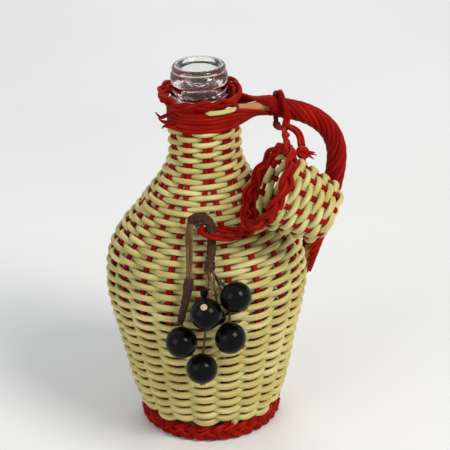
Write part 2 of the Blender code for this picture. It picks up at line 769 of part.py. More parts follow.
def strand_route(route, jacket, index):
    """Gives the route of one strand: round half the neck, out to the handle, and round its core."""
    level = index % BAND_LEVELS
    front = index < BAND_LEVELS
    height = RIM_BOTTOM - TOUCH_GAP - STRAND_RADIUS - level * STRAND_PITCH
    step = 2 * math.pi / STRAND_COUNT
    first_turn = step * (level + 0.5 if front else -level - 0.5)
    helix = []
    steps = int(12 * STRAND_TURNS)
    for k in range(steps + 1):
        share = WRAP_START_SHARE + (1.0 - WRAP_START_SHARE) * k / steps
        turn = first_turn + 2 * math.pi * STRAND_TURNS * eased(k / steps)
        spot, _, up, side = frame_at(route, share)
        point = spot + STRAND_RING_RADIUS * (up * math.cos(turn) + side * math.sin(turn))
        if k > steps // 2 and jacket.gap(point) < STRAND_RADIUS + TOUCH_GAP:
            break
        helix.append(point)
    middle = lean(JACKET_TOP_HEIGHT)
    ring = neck_ring_radius()
    target = helix[0]
    distance = math.hypot(target.x - middle, target.y)
    sign = -1.0 if front else 1.0
    leave = math.atan2(target.y, target.x - middle) + sign * math.acos(ring / distance)
    last = sign * (math.pi - STRAND_END_TURN)
    neck = []
    for k in range(8):
        angle = last + (leave - last) * k / 7
        neck.append(Vector((middle + ring * math.cos(angle), ring * math.sin(angle), height)))
    between = [neck[-1].lerp(target, share) for share in (0.33, 0.67)]
    return np.array([tuple(point) for point in neck + between + helix])


def build_handle(jacket, weave, core_material, strand_material):
    """Builds the handle's core, seats it in a groove of the weave, and winds the strands round it."""
    route = handle_route(jacket)
    tube("handle_core", route[::4], HANDLE_CORE_RADIUS, core_material, resolution=1)
    seat = tube("handle_seat_cut", route[60::4], HANDLE_CORE_RADIUS + TOUCH_GAP, core_material, resolution=1)
    cutter_mesh = bpy.data.meshes.new_from_object(seat.evaluated_get(bpy.context.evaluated_depsgraph_get()))
    bpy.data.objects.remove(seat, do_unlink=True)
    cutter = bpy.data.objects.new("handle_seat_cut", cutter_mesh)
    bpy.context.scene.collection.objects.link(cutter)
    cutter.hide_render = True
    cutter.display_type = "WIRE"
    cut = weave.modifiers.new("seat", "BOOLEAN")
    cut.operation = "DIFFERENCE"
    cut.solver = "EXACT"
    cut.object = cutter
    strands = [strand_route(route, jacket, index) for index in range(STRAND_COUNT)]
    for index, points in enumerate(strands):
        name = f"handle_strand_{index + 1:02d}"
        tube(name, points, STRAND_RADIUS, strand_material, resolution=1)
    fine = [dense_route(points) for points in strands]
    gaps = []
    for index in range(STRAND_COUNT):
        gaps += [least_gap(fine[index], fine[other], 2 * STRAND_RADIUS) for other in range(index)]
    print("least gap between two handle strands, mm:", round(1000 * min(gaps), 2))
    return route


def cup_place(jacket):
    """Gives the matrix that puts the cup, whose mouth is at its own origin, against the jacket."""
    turn = Matrix.Rotation(CUP_YAW, 4, "Z") @ Matrix.Rotation(math.pi / 2 - CUP_TILT, 4, "Y")
    rim_outside = CUP_RIM_RADIUS + CUP_RIM_THICKNESS / 2
    rings = [(rim_outside, 0.0), (CUP_MOUTH_RADIUS, CUP_RIM_THICKNESS / 2), (CUP_END_RADIUS, CUP_LENGTH)]

    def free_distance(distance):
        middle = Vector((distance * math.cos(CUP_AZIMUTH), distance * math.sin(CUP_AZIMUTH), CUP_HEIGHT))
        place = Matrix.Translation(middle) @ turn
        gaps = []
        for radius, along in rings:
            for k in range(72):
                angle = 2 * math.pi * k / 72
                spot = Vector((radius * math.cos(angle), radius * math.sin(angle), along))
                gaps.append(jacket.gap(place @ spot))
        return min(gaps), place

    near, far = GLASS_BELLY_RADIUS / 2, 2 * GLASS_BELLY_RADIUS + CUP_LENGTH
    for _ in range(40):
        middle = (near + far) / 2
        if free_distance(middle)[0] < CUP_REST_GAP:
            near = middle
        else:
            far = middle
    return free_distance(far)[1]


def build_cup(place, hinge, weave_material, rim_material):
    """Builds the cup, whose own Z runs from its mouth to its closed end, and its braided rim."""
    add_object("cup_weave", cup_zone().mesh(place), weave_material, hinge)
    half = CUP_RIM_THICKNESS / 2
    inner, outer = CUP_RIM_RADIUS - half, CUP_RIM_RADIUS + half
    build_ring("cup_rim", inner, outer, -half, half, half / 2, 0.0, CUP_SEGMENTS, rim_material, place, hinge)


def cup_spot(place, turn, radius, along):
    """Gives a place on the cup: the turn is counted from its topmost side, and grows towards the camera."""
    axis = place.to_3x3() @ Vector((0.0, 0.0, 1.0))
    top = (Vector((0.0, 0.0, 1.0)) - axis * axis.z).normalized()
    side = axis.cross(top)
    return place.translation + axis * along + radius * (top * math.cos(turn) + side * math.sin(turn))


def tie_route(route, place):
    """Gives the tie's route: from the rim over the handle, round it, and back to the knot on the cup."""
    spot, along, up, side = frame_at(route, TIE_PLACE_SHARE * handle_top_share(route))
    ring = HANDLE_RADIUS + TIE_GAP + TIE_RADIUS
    start = cup_spot(place, 0.0, CUP_RIM_RADIUS + CUP_RIM_THICKNESS / 2 + TOUCH_GAP + TIE_RADIUS, 0.0)
    knot = knot_spot(place)
    loop = []
    for k in range(9):
        turn = math.radians(150.0 - 300.0 * k / 8)
        shift = TIE_SPREAD * (k / 4 - 1.0)
        loop.append(spot + along * shift + ring * (up * math.cos(turn) + side * math.sin(turn)))
    sag = Vector((0.0, 0.0, -TIE_SAG))
    climb = [start.lerp(loop[0], share) + sag * math.sin(math.pi * share) for share in (0.3, 0.62)]
    toward = (knot - loop[-1]).normalized()
    end = knot - toward * (TIE_KNOT_RADIUS + TOUCH_GAP)
    fall = [loop[-1].lerp(end, share) + sag * math.sin(math.pi * share) for share in (0.2, 0.5, 0.8)]
    return smooth_route([start, *climb, *loop, *fall, end], 40), spot, along


def handle_top_share(route):
    """Gives the share of the handle's length at which it reaches furthest out."""
    return float(route[:, 0].argmax()) / (len(route) - 1)


def knot_spot(place):
    """Gives the middle of the knot, which sits on the cup's wall behind the rim."""
    wall = CUP_MOUTH_RADIUS + (CUP_END_RADIUS - CUP_MOUTH_RADIUS) * TIE_KNOT_BACK / CUP_LENGTH
    return cup_spot(place, TIE_KNOT_TURN, wall + TOUCH_GAP + TIE_KNOT_RADIUS, TIE_KNOT_BACK)


def ball_mesh(middle, radius, segments, rings, stretch=1.0):
    """Makes a ball, which may be stretched along Z."""
    profile = [(0.0, -radius * stretch, 0.0)]
    for k in range(1, rings):
        angle = math.pi * k / rings
        profile.append((radius * math.sin(angle), -radius * stretch * math.cos(angle), 0.0))
    profile.append((0.0, radius * stretch, 0.0))
    return turned_mesh(profile, segments, Matrix.Translation(middle))


def loop_lifts():
    """Gives the lifts of the loop's back strand, of the twig inside it, and of its front strand."""
    back = LOOP_RADIUS + TOUCH_GAP
    twig = back + LOOP_RADIUS + LOOP_SLACK + TWIG_RADIUS
    return back, twig, twig + TWIG_RADIUS + LOOP_SLACK + LOOP_RADIUS


def build_berry_tie(jacket, place, hinge, material):
    """Builds the loop from the cup's rim to the twig: out in front of it, round it, and back behind."""
    back, twig, front = loop_lifts()
    gap = CUP_RIM_THICKNESS / 2 + TOUCH_GAP + LOOP_RADIUS
    low_side = cup_spot(place, math.pi * 0.93, CUP_RIM_RADIUS + gap, 0.0)
    high_side = cup_spot(place, math.pi * 1.08, CUP_RIM_RADIUS + gap, 0.0)
    rise = 2 * LOOP_RADIUS
    middle = (LOOP_START_AZIMUTH + 2 * LOOP_LEG_AZIMUTH) / 3
    places = [
        low_side,
        jacket.spot(middle, LOOP_HEIGHT - rise, front),
        jacket.spot(LOOP_LEG_AZIMUTH, LOOP_HEIGHT, front),
        jacket.spot(LOOP_BEND_AZIMUTH, LOOP_HEIGHT, twig),
        jacket.spot(LOOP_LEG_AZIMUTH, LOOP_HEIGHT, back),
        jacket.spot(middle, LOOP_HEIGHT + rise, back),
        high_side,
    ]
    return tube("berry_tie", smooth_route(places, 30), LOOP_RADIUS, material, resolution=1, parent=hinge)


# Berries: shares of the bunch's width and drop, and share of a radius off the jacket
BERRY_PLACE_SHARES = (
    (0.395, 0.400, 1.26),
    (-0.145, 0.485, 1.60),
    (0.277, 0.705, 1.26),
    (-0.606, 0.730, 1.26),
    (-0.248, 0.990, 1.26),
)
# Stems: start beside the leg in stem steps, share of the width and of the drop, and lift in stem steps
STEM_SHARES = (
    (2, 0, 0.127, 0.29, 2.0),
    (-2, 0, -0.101, 0.285, 4.0),
    (2, -2, 0.066, 0.42, 2.0),
    (0, 0, -0.167, 0.66, 2.0),
    (0, -2, -0.018, 0.34, 4.0),
    (2, 2, 0.316, 0.5, 1.7),
)


def bunch_spot(jacket, side_share, drop_share, lift):
    """Gives a place beside and below the loop's leg, off the jacket by the lift."""
    height = LOOP_HEIGHT - BUNCH_DROP * drop_share
    return jacket.spot(LOOP_LEG_AZIMUTH + BUNCH_WIDTH * side_share / jacket.radius(height), height, lift)


def berry_spot(jacket, index):
    """Gives the middle of one large berry."""
    side_share, drop_share, lift_share = BERRY_PLACE_SHARES[index]
    return bunch_spot(jacket, side_share, drop_share, lift_share * BERRY_RADIUS)


def build_berry(name, middle, radius, with_calyx, berry_material, hinge):
    """Builds one berry, with the dried calyx at its lower end where it shows."""
    profile = [(0.0, -radius, 0.0)]
    if with_calyx:
        foot = -math.sqrt(radius**2 - CALYX_RADIUS**2)
        profile = [(0.0, -radius - CALYX_LENGTH, 0.0), (CALYX_RADIUS, -radius - CALYX_LENGTH, 0.0)]
        profile.append((CALYX_RADIUS, foot, 0.0))
    for k in range(1, BERRY_RINGS):
        angle = math.pi * k / BERRY_RINGS
        profile.append((radius * math.sin(angle), -radius * math.cos(angle), 0.0))
    profile.append((0.0, radius, 0.0))
    mesh = turned_mesh(profile, BERRY_SEGMENTS, Matrix.Translation(middle))
    return add_object(name, mesh, berry_material, hinge)


def build_bunch(jacket, hinge, twig_material, stem_material, berry_material):
    """Builds the twig that is bent over the loop, the stems, the berries and a bud."""
    _, twig_lift, _ = loop_lifts()
    rest_lift = TWIG_RADIUS + TOUCH_GAP

    def at(side_share, drop_share, lift):
        return bunch_spot(jacket, side_share, drop_share, lift)

    arch = [
        at(-0.674, 0.62, rest_lift + TWIG_RADIUS),
        at(-0.575, 0.45, rest_lift + STEM_RADIUS),
        at(-0.453, 0.24, rest_lift + STEM_RADIUS),
        at(-0.372, 0.04, twig_lift),
        at(-0.309, -0.06, twig_lift + STEM_RADIUS),
        at(-0.206, -0.125, twig_lift + TWIG_RADIUS),
        at(-0.095, -0.115, twig_lift + TWIG_RADIUS),
        at(-0.019, -0.060, twig_lift + STEM_RADIUS),
        at(-0.003, 0.0, twig_lift),
        at(-0.010, 0.09, twig_lift - STEM_RADIUS),
        at(-0.025, 0.23, rest_lift + STEM_RADIUS),
    ]
    route = smooth_route(arch, 26)
    slim = [TWIG_TIP_RADIUS + (TWIG_RADIUS - TWIG_TIP_RADIUS) * smooth_step(k / 5) for k in range(26)]
    tube("twig", route, TWIG_RADIUS, twig_material, resolution=1, radii=slim, parent=hinge)

    berries = [berry_spot(jacket, index) for index in range(len(BERRY_PLACE_SHARES))]
    for index, middle in enumerate(berries):
        build_berry(f"berry_{index + 1}", middle, BERRY_RADIUS, index != 1, berry_material, hinge)
    small = at(0.112, 0.575, SMALL_BERRY_RADIUS + TOUCH_GAP)
    build_berry("berry_small", small, SMALL_BERRY_RADIUS, False, berry_material, hinge)
    step = STEM_RADIUS + TOUCH_GAP
    bud = at(-0.126, 0.345, BUD_RADIUS + 4 * step)
    bud_mesh = ball_mesh(bud, BUD_RADIUS, 8, 6, stretch=BUD_STRETCH)
    add_object("bud", bud_mesh, berry_material, hinge)

    def stem(name, start, passing, middle, radius):
        """Builds a stem that stops just short of what it carries."""
        toward = (middle - passing).normalized()
        end = middle - toward * (radius + TOUCH_GAP)
        points = smooth_route([start, passing, end], 8)
        tube(name, points, STEM_RADIUS, stem_material, resolution=0, parent=hinge)

    right_end, right_last = Vector(route[-1]), Vector(route[-2])
    seat = right_end + (right_end - right_last).normalized() * step
    carried = [
        (berries[0], BERRY_RADIUS),
        (bud, BUD_RADIUS * BUD_STRETCH),
        (small, SMALL_BERRY_RADIUS),
        (berries[4], BERRY_RADIUS),
        (berries[1], BERRY_RADIUS),
        (berries[2], BERRY_RADIUS),
    ]
    for index, (x_steps, y_steps, side_share, drop_share, lift_steps) in enumerate(STEM_SHARES):
        start = seat + Vector((x_steps * step, y_steps * step, 0.0))
        stem(f"stem_{index + 1}", start, at(side_share, drop_share, lift_steps * step), *carried[index])
    left_end, left_last = Vector(route[0]), Vector(route[1])
    start = left_end + (left_end - left_last).normalized() * step
    stem("stem_7", start, at(-0.639, 0.64, 4 * step), berries[3], BERRY_RADIUS)


def add_hinge(name, spot):
    """Puts an empty on a joint's axis."""
    hinge = bpy.data.objects.new(name, None)
    hinge.location = spot
    bpy.context.scene.collection.objects.link(hinge)
    bpy.context.view_layer.update()
    return hinge


def main():
    """Builds the whole bottle."""
    clear_scene()
    red = make_material("dyed_cane", RED, 0.45)
    cream = make_material("peeled_cane", CREAM, 0.50)
    tan = make_material("handle_cane", TAN, 0.60)
    bark = make_material("twig_tape", BARK, 0.80)
    stem_green = make_material("stem_wire", ORANGE_BROWN, 0.70)
    berry_black = make_material("berry", BLACK, 0.12)
    glass = make_material("glass", CLEAR, 0.03, transmission=1.0)

    layers = Layers()
    jacket = Jacket(layers)
    build_glass(layers, glass)
    base_radius = FOOT_INNER_RADIUS - TOUCH_GAP
    base_edge = BASE_THICKNESS / 4
    base = [
        (0.0, 0.0, 0.0),
        (base_radius - base_edge, 0.0, 0.0),
        (base_radius, base_edge, 0.0),
        (base_radius, BASE_THICKNESS - base_edge, 0.0),
        (base_radius - base_edge, BASE_THICKNESS, 0.0),
        (0.0, BASE_THICKNESS, 0.0),
    ]
    add_object("base_weave", turned_mesh(base, RING_SEGMENTS), cream)
    foot = (FOOT_INNER_RADIUS, FOOT_OUTER_RADIUS, 0.0, FOOT_HEIGHT, FOOT_EDGE_ROUND, 0.0)
    build_ring("foot_border", *foot, RING_SEGMENTS, red)
    outside = layers.jacket_outside()
    seam = FOOT_HEIGHT + SEAM_SHARE * (JACKET_TOP_HEIGHT - FOOT_HEIGHT)
    split = int(np.abs(outside[:, 1] - seam).argmin())
    seam = outside[split, 1]
    low = FOOT_HEIGHT + TOUCH_GAP + TOUCH_GAP
    body_zone = jacket_zone(layers, low, seam - TOUCH_GAP, paired=False)
    neck_zone = jacket_zone(layers, seam + TOUCH_GAP, JACKET_TOP_HEIGHT, paired=True)
    body_weave = add_object("body_weave", body_zone.mesh(), cream)
    add_object("neck_weave", neck_zone.mesh(), cream)
    build_stakes(layers, red)
    rim = (RIM_INNER_RADIUS, RIM_OUTER_RADIUS, RIM_BOTTOM, RIM_TOP, RIM_EDGE_ROUND, 0.0)
    build_ring("rim_border", *rim, RING_SEGMENTS, red)
    route = build_handle(jacket, body_weave, tan, red)

    place = cup_place(jacket)
    tie, cup_pivot, handle_direction = tie_route(route, place)
    cup_hinge = add_hinge("cup_hinge", cup_pivot)
    build_cup(place, cup_hinge, cream, red)
    tube("cup_tie", tie, TIE_RADIUS, red, resolution=1, parent=cup_hinge)
    knot = ball_mesh(knot_spot(place), TIE_KNOT_RADIUS, 10, 6)
    add_object("cup_tie_knot", knot, red, cup_hinge)
    build_berry_tie(jacket, place, cup_hinge, red)

    _, twig_lift, _ = loop_lifts()
    bunch_pivot = jacket.spot(LOOP_LEG_AZIMUTH, LOOP_HEIGHT, twig_lift)
    bunch_hinge = add_hinge("bunch_hinge", bunch_pivot)
    build_bunch(jacket, bunch_hinge, bark, stem_green, berry_black)
    print("cup hinge, mm:", [round(1000 * v, 2) for v in cup_pivot])
    print("cup hinge axis:", [round(v, 4) for v in handle_direction])
    print("bunch hinge, mm:", [round(1000 * v, 2) for v in bunch_pivot])
    print("cup mouth, mm:", [round(1000 * v, 2) for v in place.translation])


main()
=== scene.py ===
"""Looks of the wicker-covered glass bottle: woven jacket, wrapped handle, small cup and berry bunch.

Metres, +Z up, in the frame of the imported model. The handle lies in the XZ plane, on the +X side.
"""

import logging
import math
from dataclasses import dataclass
from enum import Enum

import bmesh
import bpy
import numpy as np
from bpy.types import Material, Mesh, Node, NodeSocket, NodeTree
from mathutils import Matrix, Vector


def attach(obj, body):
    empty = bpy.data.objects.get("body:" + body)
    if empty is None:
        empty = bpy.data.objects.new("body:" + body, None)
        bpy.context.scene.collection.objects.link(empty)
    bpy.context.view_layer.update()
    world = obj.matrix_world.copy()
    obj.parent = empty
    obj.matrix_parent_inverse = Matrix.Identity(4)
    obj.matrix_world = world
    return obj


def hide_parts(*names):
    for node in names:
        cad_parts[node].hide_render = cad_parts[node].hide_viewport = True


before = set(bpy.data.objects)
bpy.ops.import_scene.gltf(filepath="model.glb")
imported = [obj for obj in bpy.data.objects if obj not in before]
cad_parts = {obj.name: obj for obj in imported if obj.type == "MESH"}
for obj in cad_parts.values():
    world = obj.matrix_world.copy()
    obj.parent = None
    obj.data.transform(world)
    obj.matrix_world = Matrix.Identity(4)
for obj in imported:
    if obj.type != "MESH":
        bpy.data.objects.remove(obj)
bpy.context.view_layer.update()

log = logging.getLogger("bottle")
Rgb = tuple[float, float, float]
Place = tuple[float, float, float]
Bump = tuple[float, float, float]
Line = list[tuple[float, float]]
Shares = tuple[tuple[float, float], ...]
Numbers = np.ndarray | float
UP = Vector((0.0, 0.0, 1.0))

# How uneven a weaver is: changes in a turn, and the shares of its wave and width that they reach
BULGE_RATE, CLIMB_RATE, SWELL_RATE = 9.0, 7.0, 4.0
BULGE_SHARE, SWELL_SHARE, THIN_SHARE = 0.35, 0.12, 0.05
FLAT_CREST = 0.25
FIBRE_PER_TURN, FIBRE_PER_WEAVER = 0.2, 9.0
WEAVER_SEED_STEP, STRAND_SEED_STEP = 5.3, 3.7
CLIMB_PLACE, SWELL_PLACE = 4.0, 8.0

# Steps of a smooth route between two of its places, and the shift of the fibres from strand to strand
ROUTE_STEPS = 24
STRAND_FIBRE_STEP = 0.37


# Node trees


class Tree:
    """A node tree that Python fills, one node at a time."""

    def __init__(self, owner: NodeTree) -> None:
        """Keeps the tree that the nodes go in."""
        self.owner = owner

    def add(self, kind: str, settings: dict | None = None, inputs: dict | None = None) -> Node:
        """Adds one node.

        Args:
            kind: the node's type.
            settings: the node's own settings, which are set first.
            inputs: a value or a link for each socket, by its name or number.

        Returns:
            The node.
        """
        node = self.owner.nodes.new(kind)
        for name, value in (settings or {}).items():
            setattr(node, name, value)
        for key, value in (inputs or {}).items():
            self.feed(node.inputs[key], value)
        return node

    def feed(self, socket: NodeSocket, value: object) -> None:
        """Links something to a socket, or sets a plain value on it.

        Args:
            socket: the socket to feed.
            value: a Value, a socket, a node whose first output is taken, or a plain value.
        """
        if isinstance(value, Value):
            value = value.socket
        if isinstance(value, Node):
            value = next(output for output in value.outputs if output.enabled)
        if isinstance(value, NodeSocket):
            self.owner.links.new(value, socket)
        else:
            socket.default_value = value

    def math(self, operation: str, *values: object) -> "Value":
        """Adds a Math node and gives its result."""
        node = self.add("ShaderNodeMath", {"operation": operation}, dict(enumerate(values)))
        return Value(self, node.outputs[0])

    def vector(self, operation: str, *values: object) -> NodeSocket:
        """Adds a Vector Math node and gives its vector."""
        node = self.add("ShaderNodeVectorMath", {"operation": operation}, dict(enumerate(values)))
        return node.outputs["Vector"]

    def scaled(self, vector: object, factor: object) -> NodeSocket:
        """Gives a vector times a number."""
        node = self.add("ShaderNodeVectorMath", {"operation": "SCALE"}, {0: vector, "Scale": factor})
        return node.outputs["Vector"]

    def join(self, x: object, y: object, z: object) -> NodeSocket:
        """Gives a vector from its three parts."""
        return self.add("ShaderNodeCombineXYZ", None, {0: x, 1: y, 2: z}).outputs[0]

    def split(self, vector: object) -> list["Value"]:
        """Gives the three parts of a vector."""
        return [Value(self, part) for part in self.add("ShaderNodeSeparateXYZ", None, {0: vector}).outputs]

    def noise(self, vector: object, scale: float, detail: float = 2.0, seed: object = 0.0) -> "Value":
        """Adds smooth noise.

        Args:
            vector: where it is read.
            scale: how many changes it has in a unit of the vector.
            detail: how many finer layers it has.
            seed: the place in its fourth dimension.

        Returns:
            The noise, from 0 to 1.
        """
        inputs = {"Vector": vector, "W": seed, "Scale": scale, "Detail": detail}
        node = self.add("ShaderNodeTexNoise", {"noise_dimensions": "4D"}, inputs)
        return Value(self, node.outputs[0])

    def step(self, value: object, low: float, high: float) -> "Value":
        """Adds a smooth step.

        Args:
            value: the number that is read.
            low: where the step is 0.
            high: where the step is 1.

        Returns:
            The step, from 0 to 1.
        """
        settings = {"interpolation_type": "SMOOTHSTEP"}
        node = self.add("ShaderNodeMapRange", settings, {"Value": value, "From Min": low, "From Max": high})
        return Value(self, node.outputs[0])


class Value:
    """A number in a node tree, on which Python's operators work."""

    def __init__(self, tree: Tree, socket: NodeSocket) -> None:
        """Keeps the socket that gives the number."""
        self.tree = tree
        self.socket = socket

    def __add__(self, other: object) -> "Value":
        """Adds."""
        return self.tree.math("ADD", self, other)

    def __sub__(self, other: object) -> "Value":
        """Subtracts."""
        return self.tree.math("SUBTRACT", self, other)

    def __rsub__(self, other: object) -> "Value":
        """Subtracts from the other."""
        return self.tree.math("SUBTRACT", other, self)

    def __mul__(self, other: object) -> "Value":
        """Multiplies."""
        return self.tree.math("MULTIPLY", self, other)

    def __truediv__(self, other: object) -> "Value":
        """Divides."""
        return self.tree.math("DIVIDE", self, other)

    def __rtruediv__(self, other: object) -> "Value":
        """Divides the other."""
        return self.tree.math("DIVIDE", other, self)

    def __neg__(self) -> "Value":
        """Turns the sign."""
        return self.tree.math("MULTIPLY", self, -1.0)

    __radd__ = __add__
    __rmul__ = __mul__

    def toward(self, other: object, share: object) -> "Value":
        """Goes from this number to the other by a share."""
        return self + (other - self) * share


class GeometryTree(Tree):
    """A Geometry Nodes tree with named inputs."""

    KINDS = {float: "NodeSocketFloat", int: "NodeSocketInt", type(None): "NodeSocketMaterial"}

    def __init__(self, name: str, inputs: dict) -> None:
        """Makes an empty tree.

        Args:
            name: the tree's name.
            inputs: the default of each named input, where None stands for a material.
        """
        group = bpy.data.node_groups.new(name, "GeometryNodeTree")
        super().__init__(group)
        group.interface.new_socket("Geometry", in_out="INPUT", socket_type="NodeSocketGeometry")
        group.interface.new_socket("Geometry", in_out="OUTPUT", socket_type="NodeSocketGeometry")
        for label, default in inputs.items():
            socket = group.interface.new_socket(label, in_out="INPUT", socket_type=self.KINDS[type(default)])
            if default is not None:
                socket.default_value = default
        self.source = self.add("NodeGroupInput")

    def given(self, label: str) -> Value:
        """Gives a named input."""
        return Value(self, self.source.outputs[label])

    def named(self, name: str, kind: str = "FLOAT") -> NodeSocket:
        """Reads an attribute of the guide."""
        return self.add("GeometryNodeInputNamedAttribute", {"data_type": kind}, {"Name": name}).outputs[0]

    def store(self, geometry: object, name: str, value: object, kind: str = "FLOAT") -> NodeSocket:
        """Writes an attribute on every point.

        Args:
            geometry: what it is written on.
            name: the attribute's name.
            value: its value at each point.
            kind: its data type.

        Returns:
            The geometry with the attribute.
        """
        settings = {"data_type": kind, "domain": "POINT"}
        inputs = {"Geometry": geometry, "Name": name, "Value": value}
        return self.add("GeometryNodeStoreNamedAttribute", settings, inputs).outputs[0]

    def sweep(self, rail: object, thick: object, run: object, out: object) -> None:
        """Sweeps an oval along the rail, keeps its fibre coordinates, and ends the tree.

        Args:
            rail: the curve.
            thick: half the strand's width at each point.
            run: the length along the strand at each point.
            out: the direction that the strand's flat side faces.
        """
        rail = self.store(rail, "run", run)
        rail = self.store(rail, "thick", thick)
        tangent = self.add("GeometryNodeInputTangent").outputs[0]
        product = self.add("ShaderNodeVectorMath", {"operation": "DOT_PRODUCT"}, {0: out, 1: tangent})
        lean = product.outputs["Value"]
        square = self.vector("NORMALIZE", self.vector("SUBTRACT", out, self.scaled(tangent, lean)))
        rail = self.add("GeometryNodeSetCurveNormal", {"mode": "FREE"}, {"Curve": rail, "Normal": square})
        links = {"Resolution": self.given("Sides"), "Radius": 1.0}
        circle = self.add("GeometryNodeCurvePrimitiveCircle", None, links)
        place = self.add("GeometryNodeInputPosition").outputs[0]
        oval = self.store(circle, "round", place, "FLOAT_VECTOR")
        flat = self.vector("MULTIPLY", place, self.join(self.given("Flatness"), 1.0, 1.0))
        oval = self.add("GeometryNodeSetPosition", None, {"Geometry": oval, "Position": flat})
        inputs = {"Curve": rail, "Profile Curve": oval, "Scale": self.named("thick"), "Fill Caps": True}
        skin = self.add("GeometryNodeCurveToMesh", None, inputs).outputs[0]
        around = self.scaled(self.named("round", "FLOAT_VECTOR"), self.named("thick"))
        fibre = self.vector("ADD", around, self.join(0.0, 0.0, self.named("run")))
        skin = self.store(skin, "fibre", fibre, "FLOAT_VECTOR")
        skin = self.add("GeometryNodeSetShadeSmooth", None, {"Geometry": skin})
        skin = self.add("GeometryNodeRealizeInstances", None, {"Geometry": skin})
        links = {"Geometry": skin, "Material": self.given("Material").socket}
        skin = self.add("GeometryNodeSetMaterial", None, links)
        self.add("NodeGroupOutput", None, {0: skin})

    def shape(self, name: str, guide: Mesh, values: dict) -> Mesh:
        """Runs the tree on a guide and gives a plain mesh.

        Args:
            name: the mesh's name.
            guide: lines of points that the tree follows.
            values: the named inputs.

        Returns:
            The mesh, closed and facing out.
        """
        carrier = bpy.data.objects.new(name, guide)
        bpy.context.scene.collection.objects.link(carrier)
        modifier = carrier.modifiers.new("shape", "NODES")
        modifier.node_group = self.owner
        for item in self.owner.interface.items_tree:
            if item.in_out == "INPUT" and item.name in values:
                modifier[item.identifier] = values[item.name]
        graph = bpy.context.evaluated_depsgraph_get()
        mesh = bpy.data.meshes.new_from_object(carrier.evaluated_get(graph))
        bpy.data.objects.remove(carrier, do_unlink=True)
        bpy.data.meshes.remove(guide)
        mesh.name = name
        if signed_volume(mesh) < 0:
            mesh.flip_normals()
        return mesh


def strand_tree() -> GeometryTree:
    """Builds the tree that sweeps a strand of cane along each line of a guide.

    Returns:
        The tree. Its guide has the attributes thick, run and out on its points.
    """
    inputs = {"Sides": 10, "Flatness": 1.0, "Wobble": 0.0, "Wobble Scale": 90.0}
    inputs |= {"Seed": 0.0, "Material": None}
    tree = GeometryTree("strand of cane", inputs)
    rail = tree.add("GeometryNodeMeshToCurve", None, {"Mesh": tree.source.outputs["Geometry"]}).outputs[0]
    place = tree.add("GeometryNodeInputPosition").outputs[0]
    island = tree.named("strand")
    settings = {"noise_dimensions": "4D"}
    seed = tree.given("Seed") + Value(tree, island) * STRAND_SEED_STEP
    inputs = {"Vector": place, "W": seed, "Scale": tree.given("Wobble Scale"), "Detail": 1.0}
    color = tree.add("ShaderNodeTexNoise", settings, inputs).outputs[1]
    shift = tree.scaled(tree.vector("SUBTRACT", color, (0.5, 0.5, 0.5)), tree.given("Wobble") * 2.0)
    rail = tree.add("GeometryNodeSetPosition", None, {"Geometry": rail, "Offset": shift})
    tree.sweep(rail, tree.named("thick"), tree.named("run"), tree.named("out", "FLOAT_VECTOR"))
    return tree


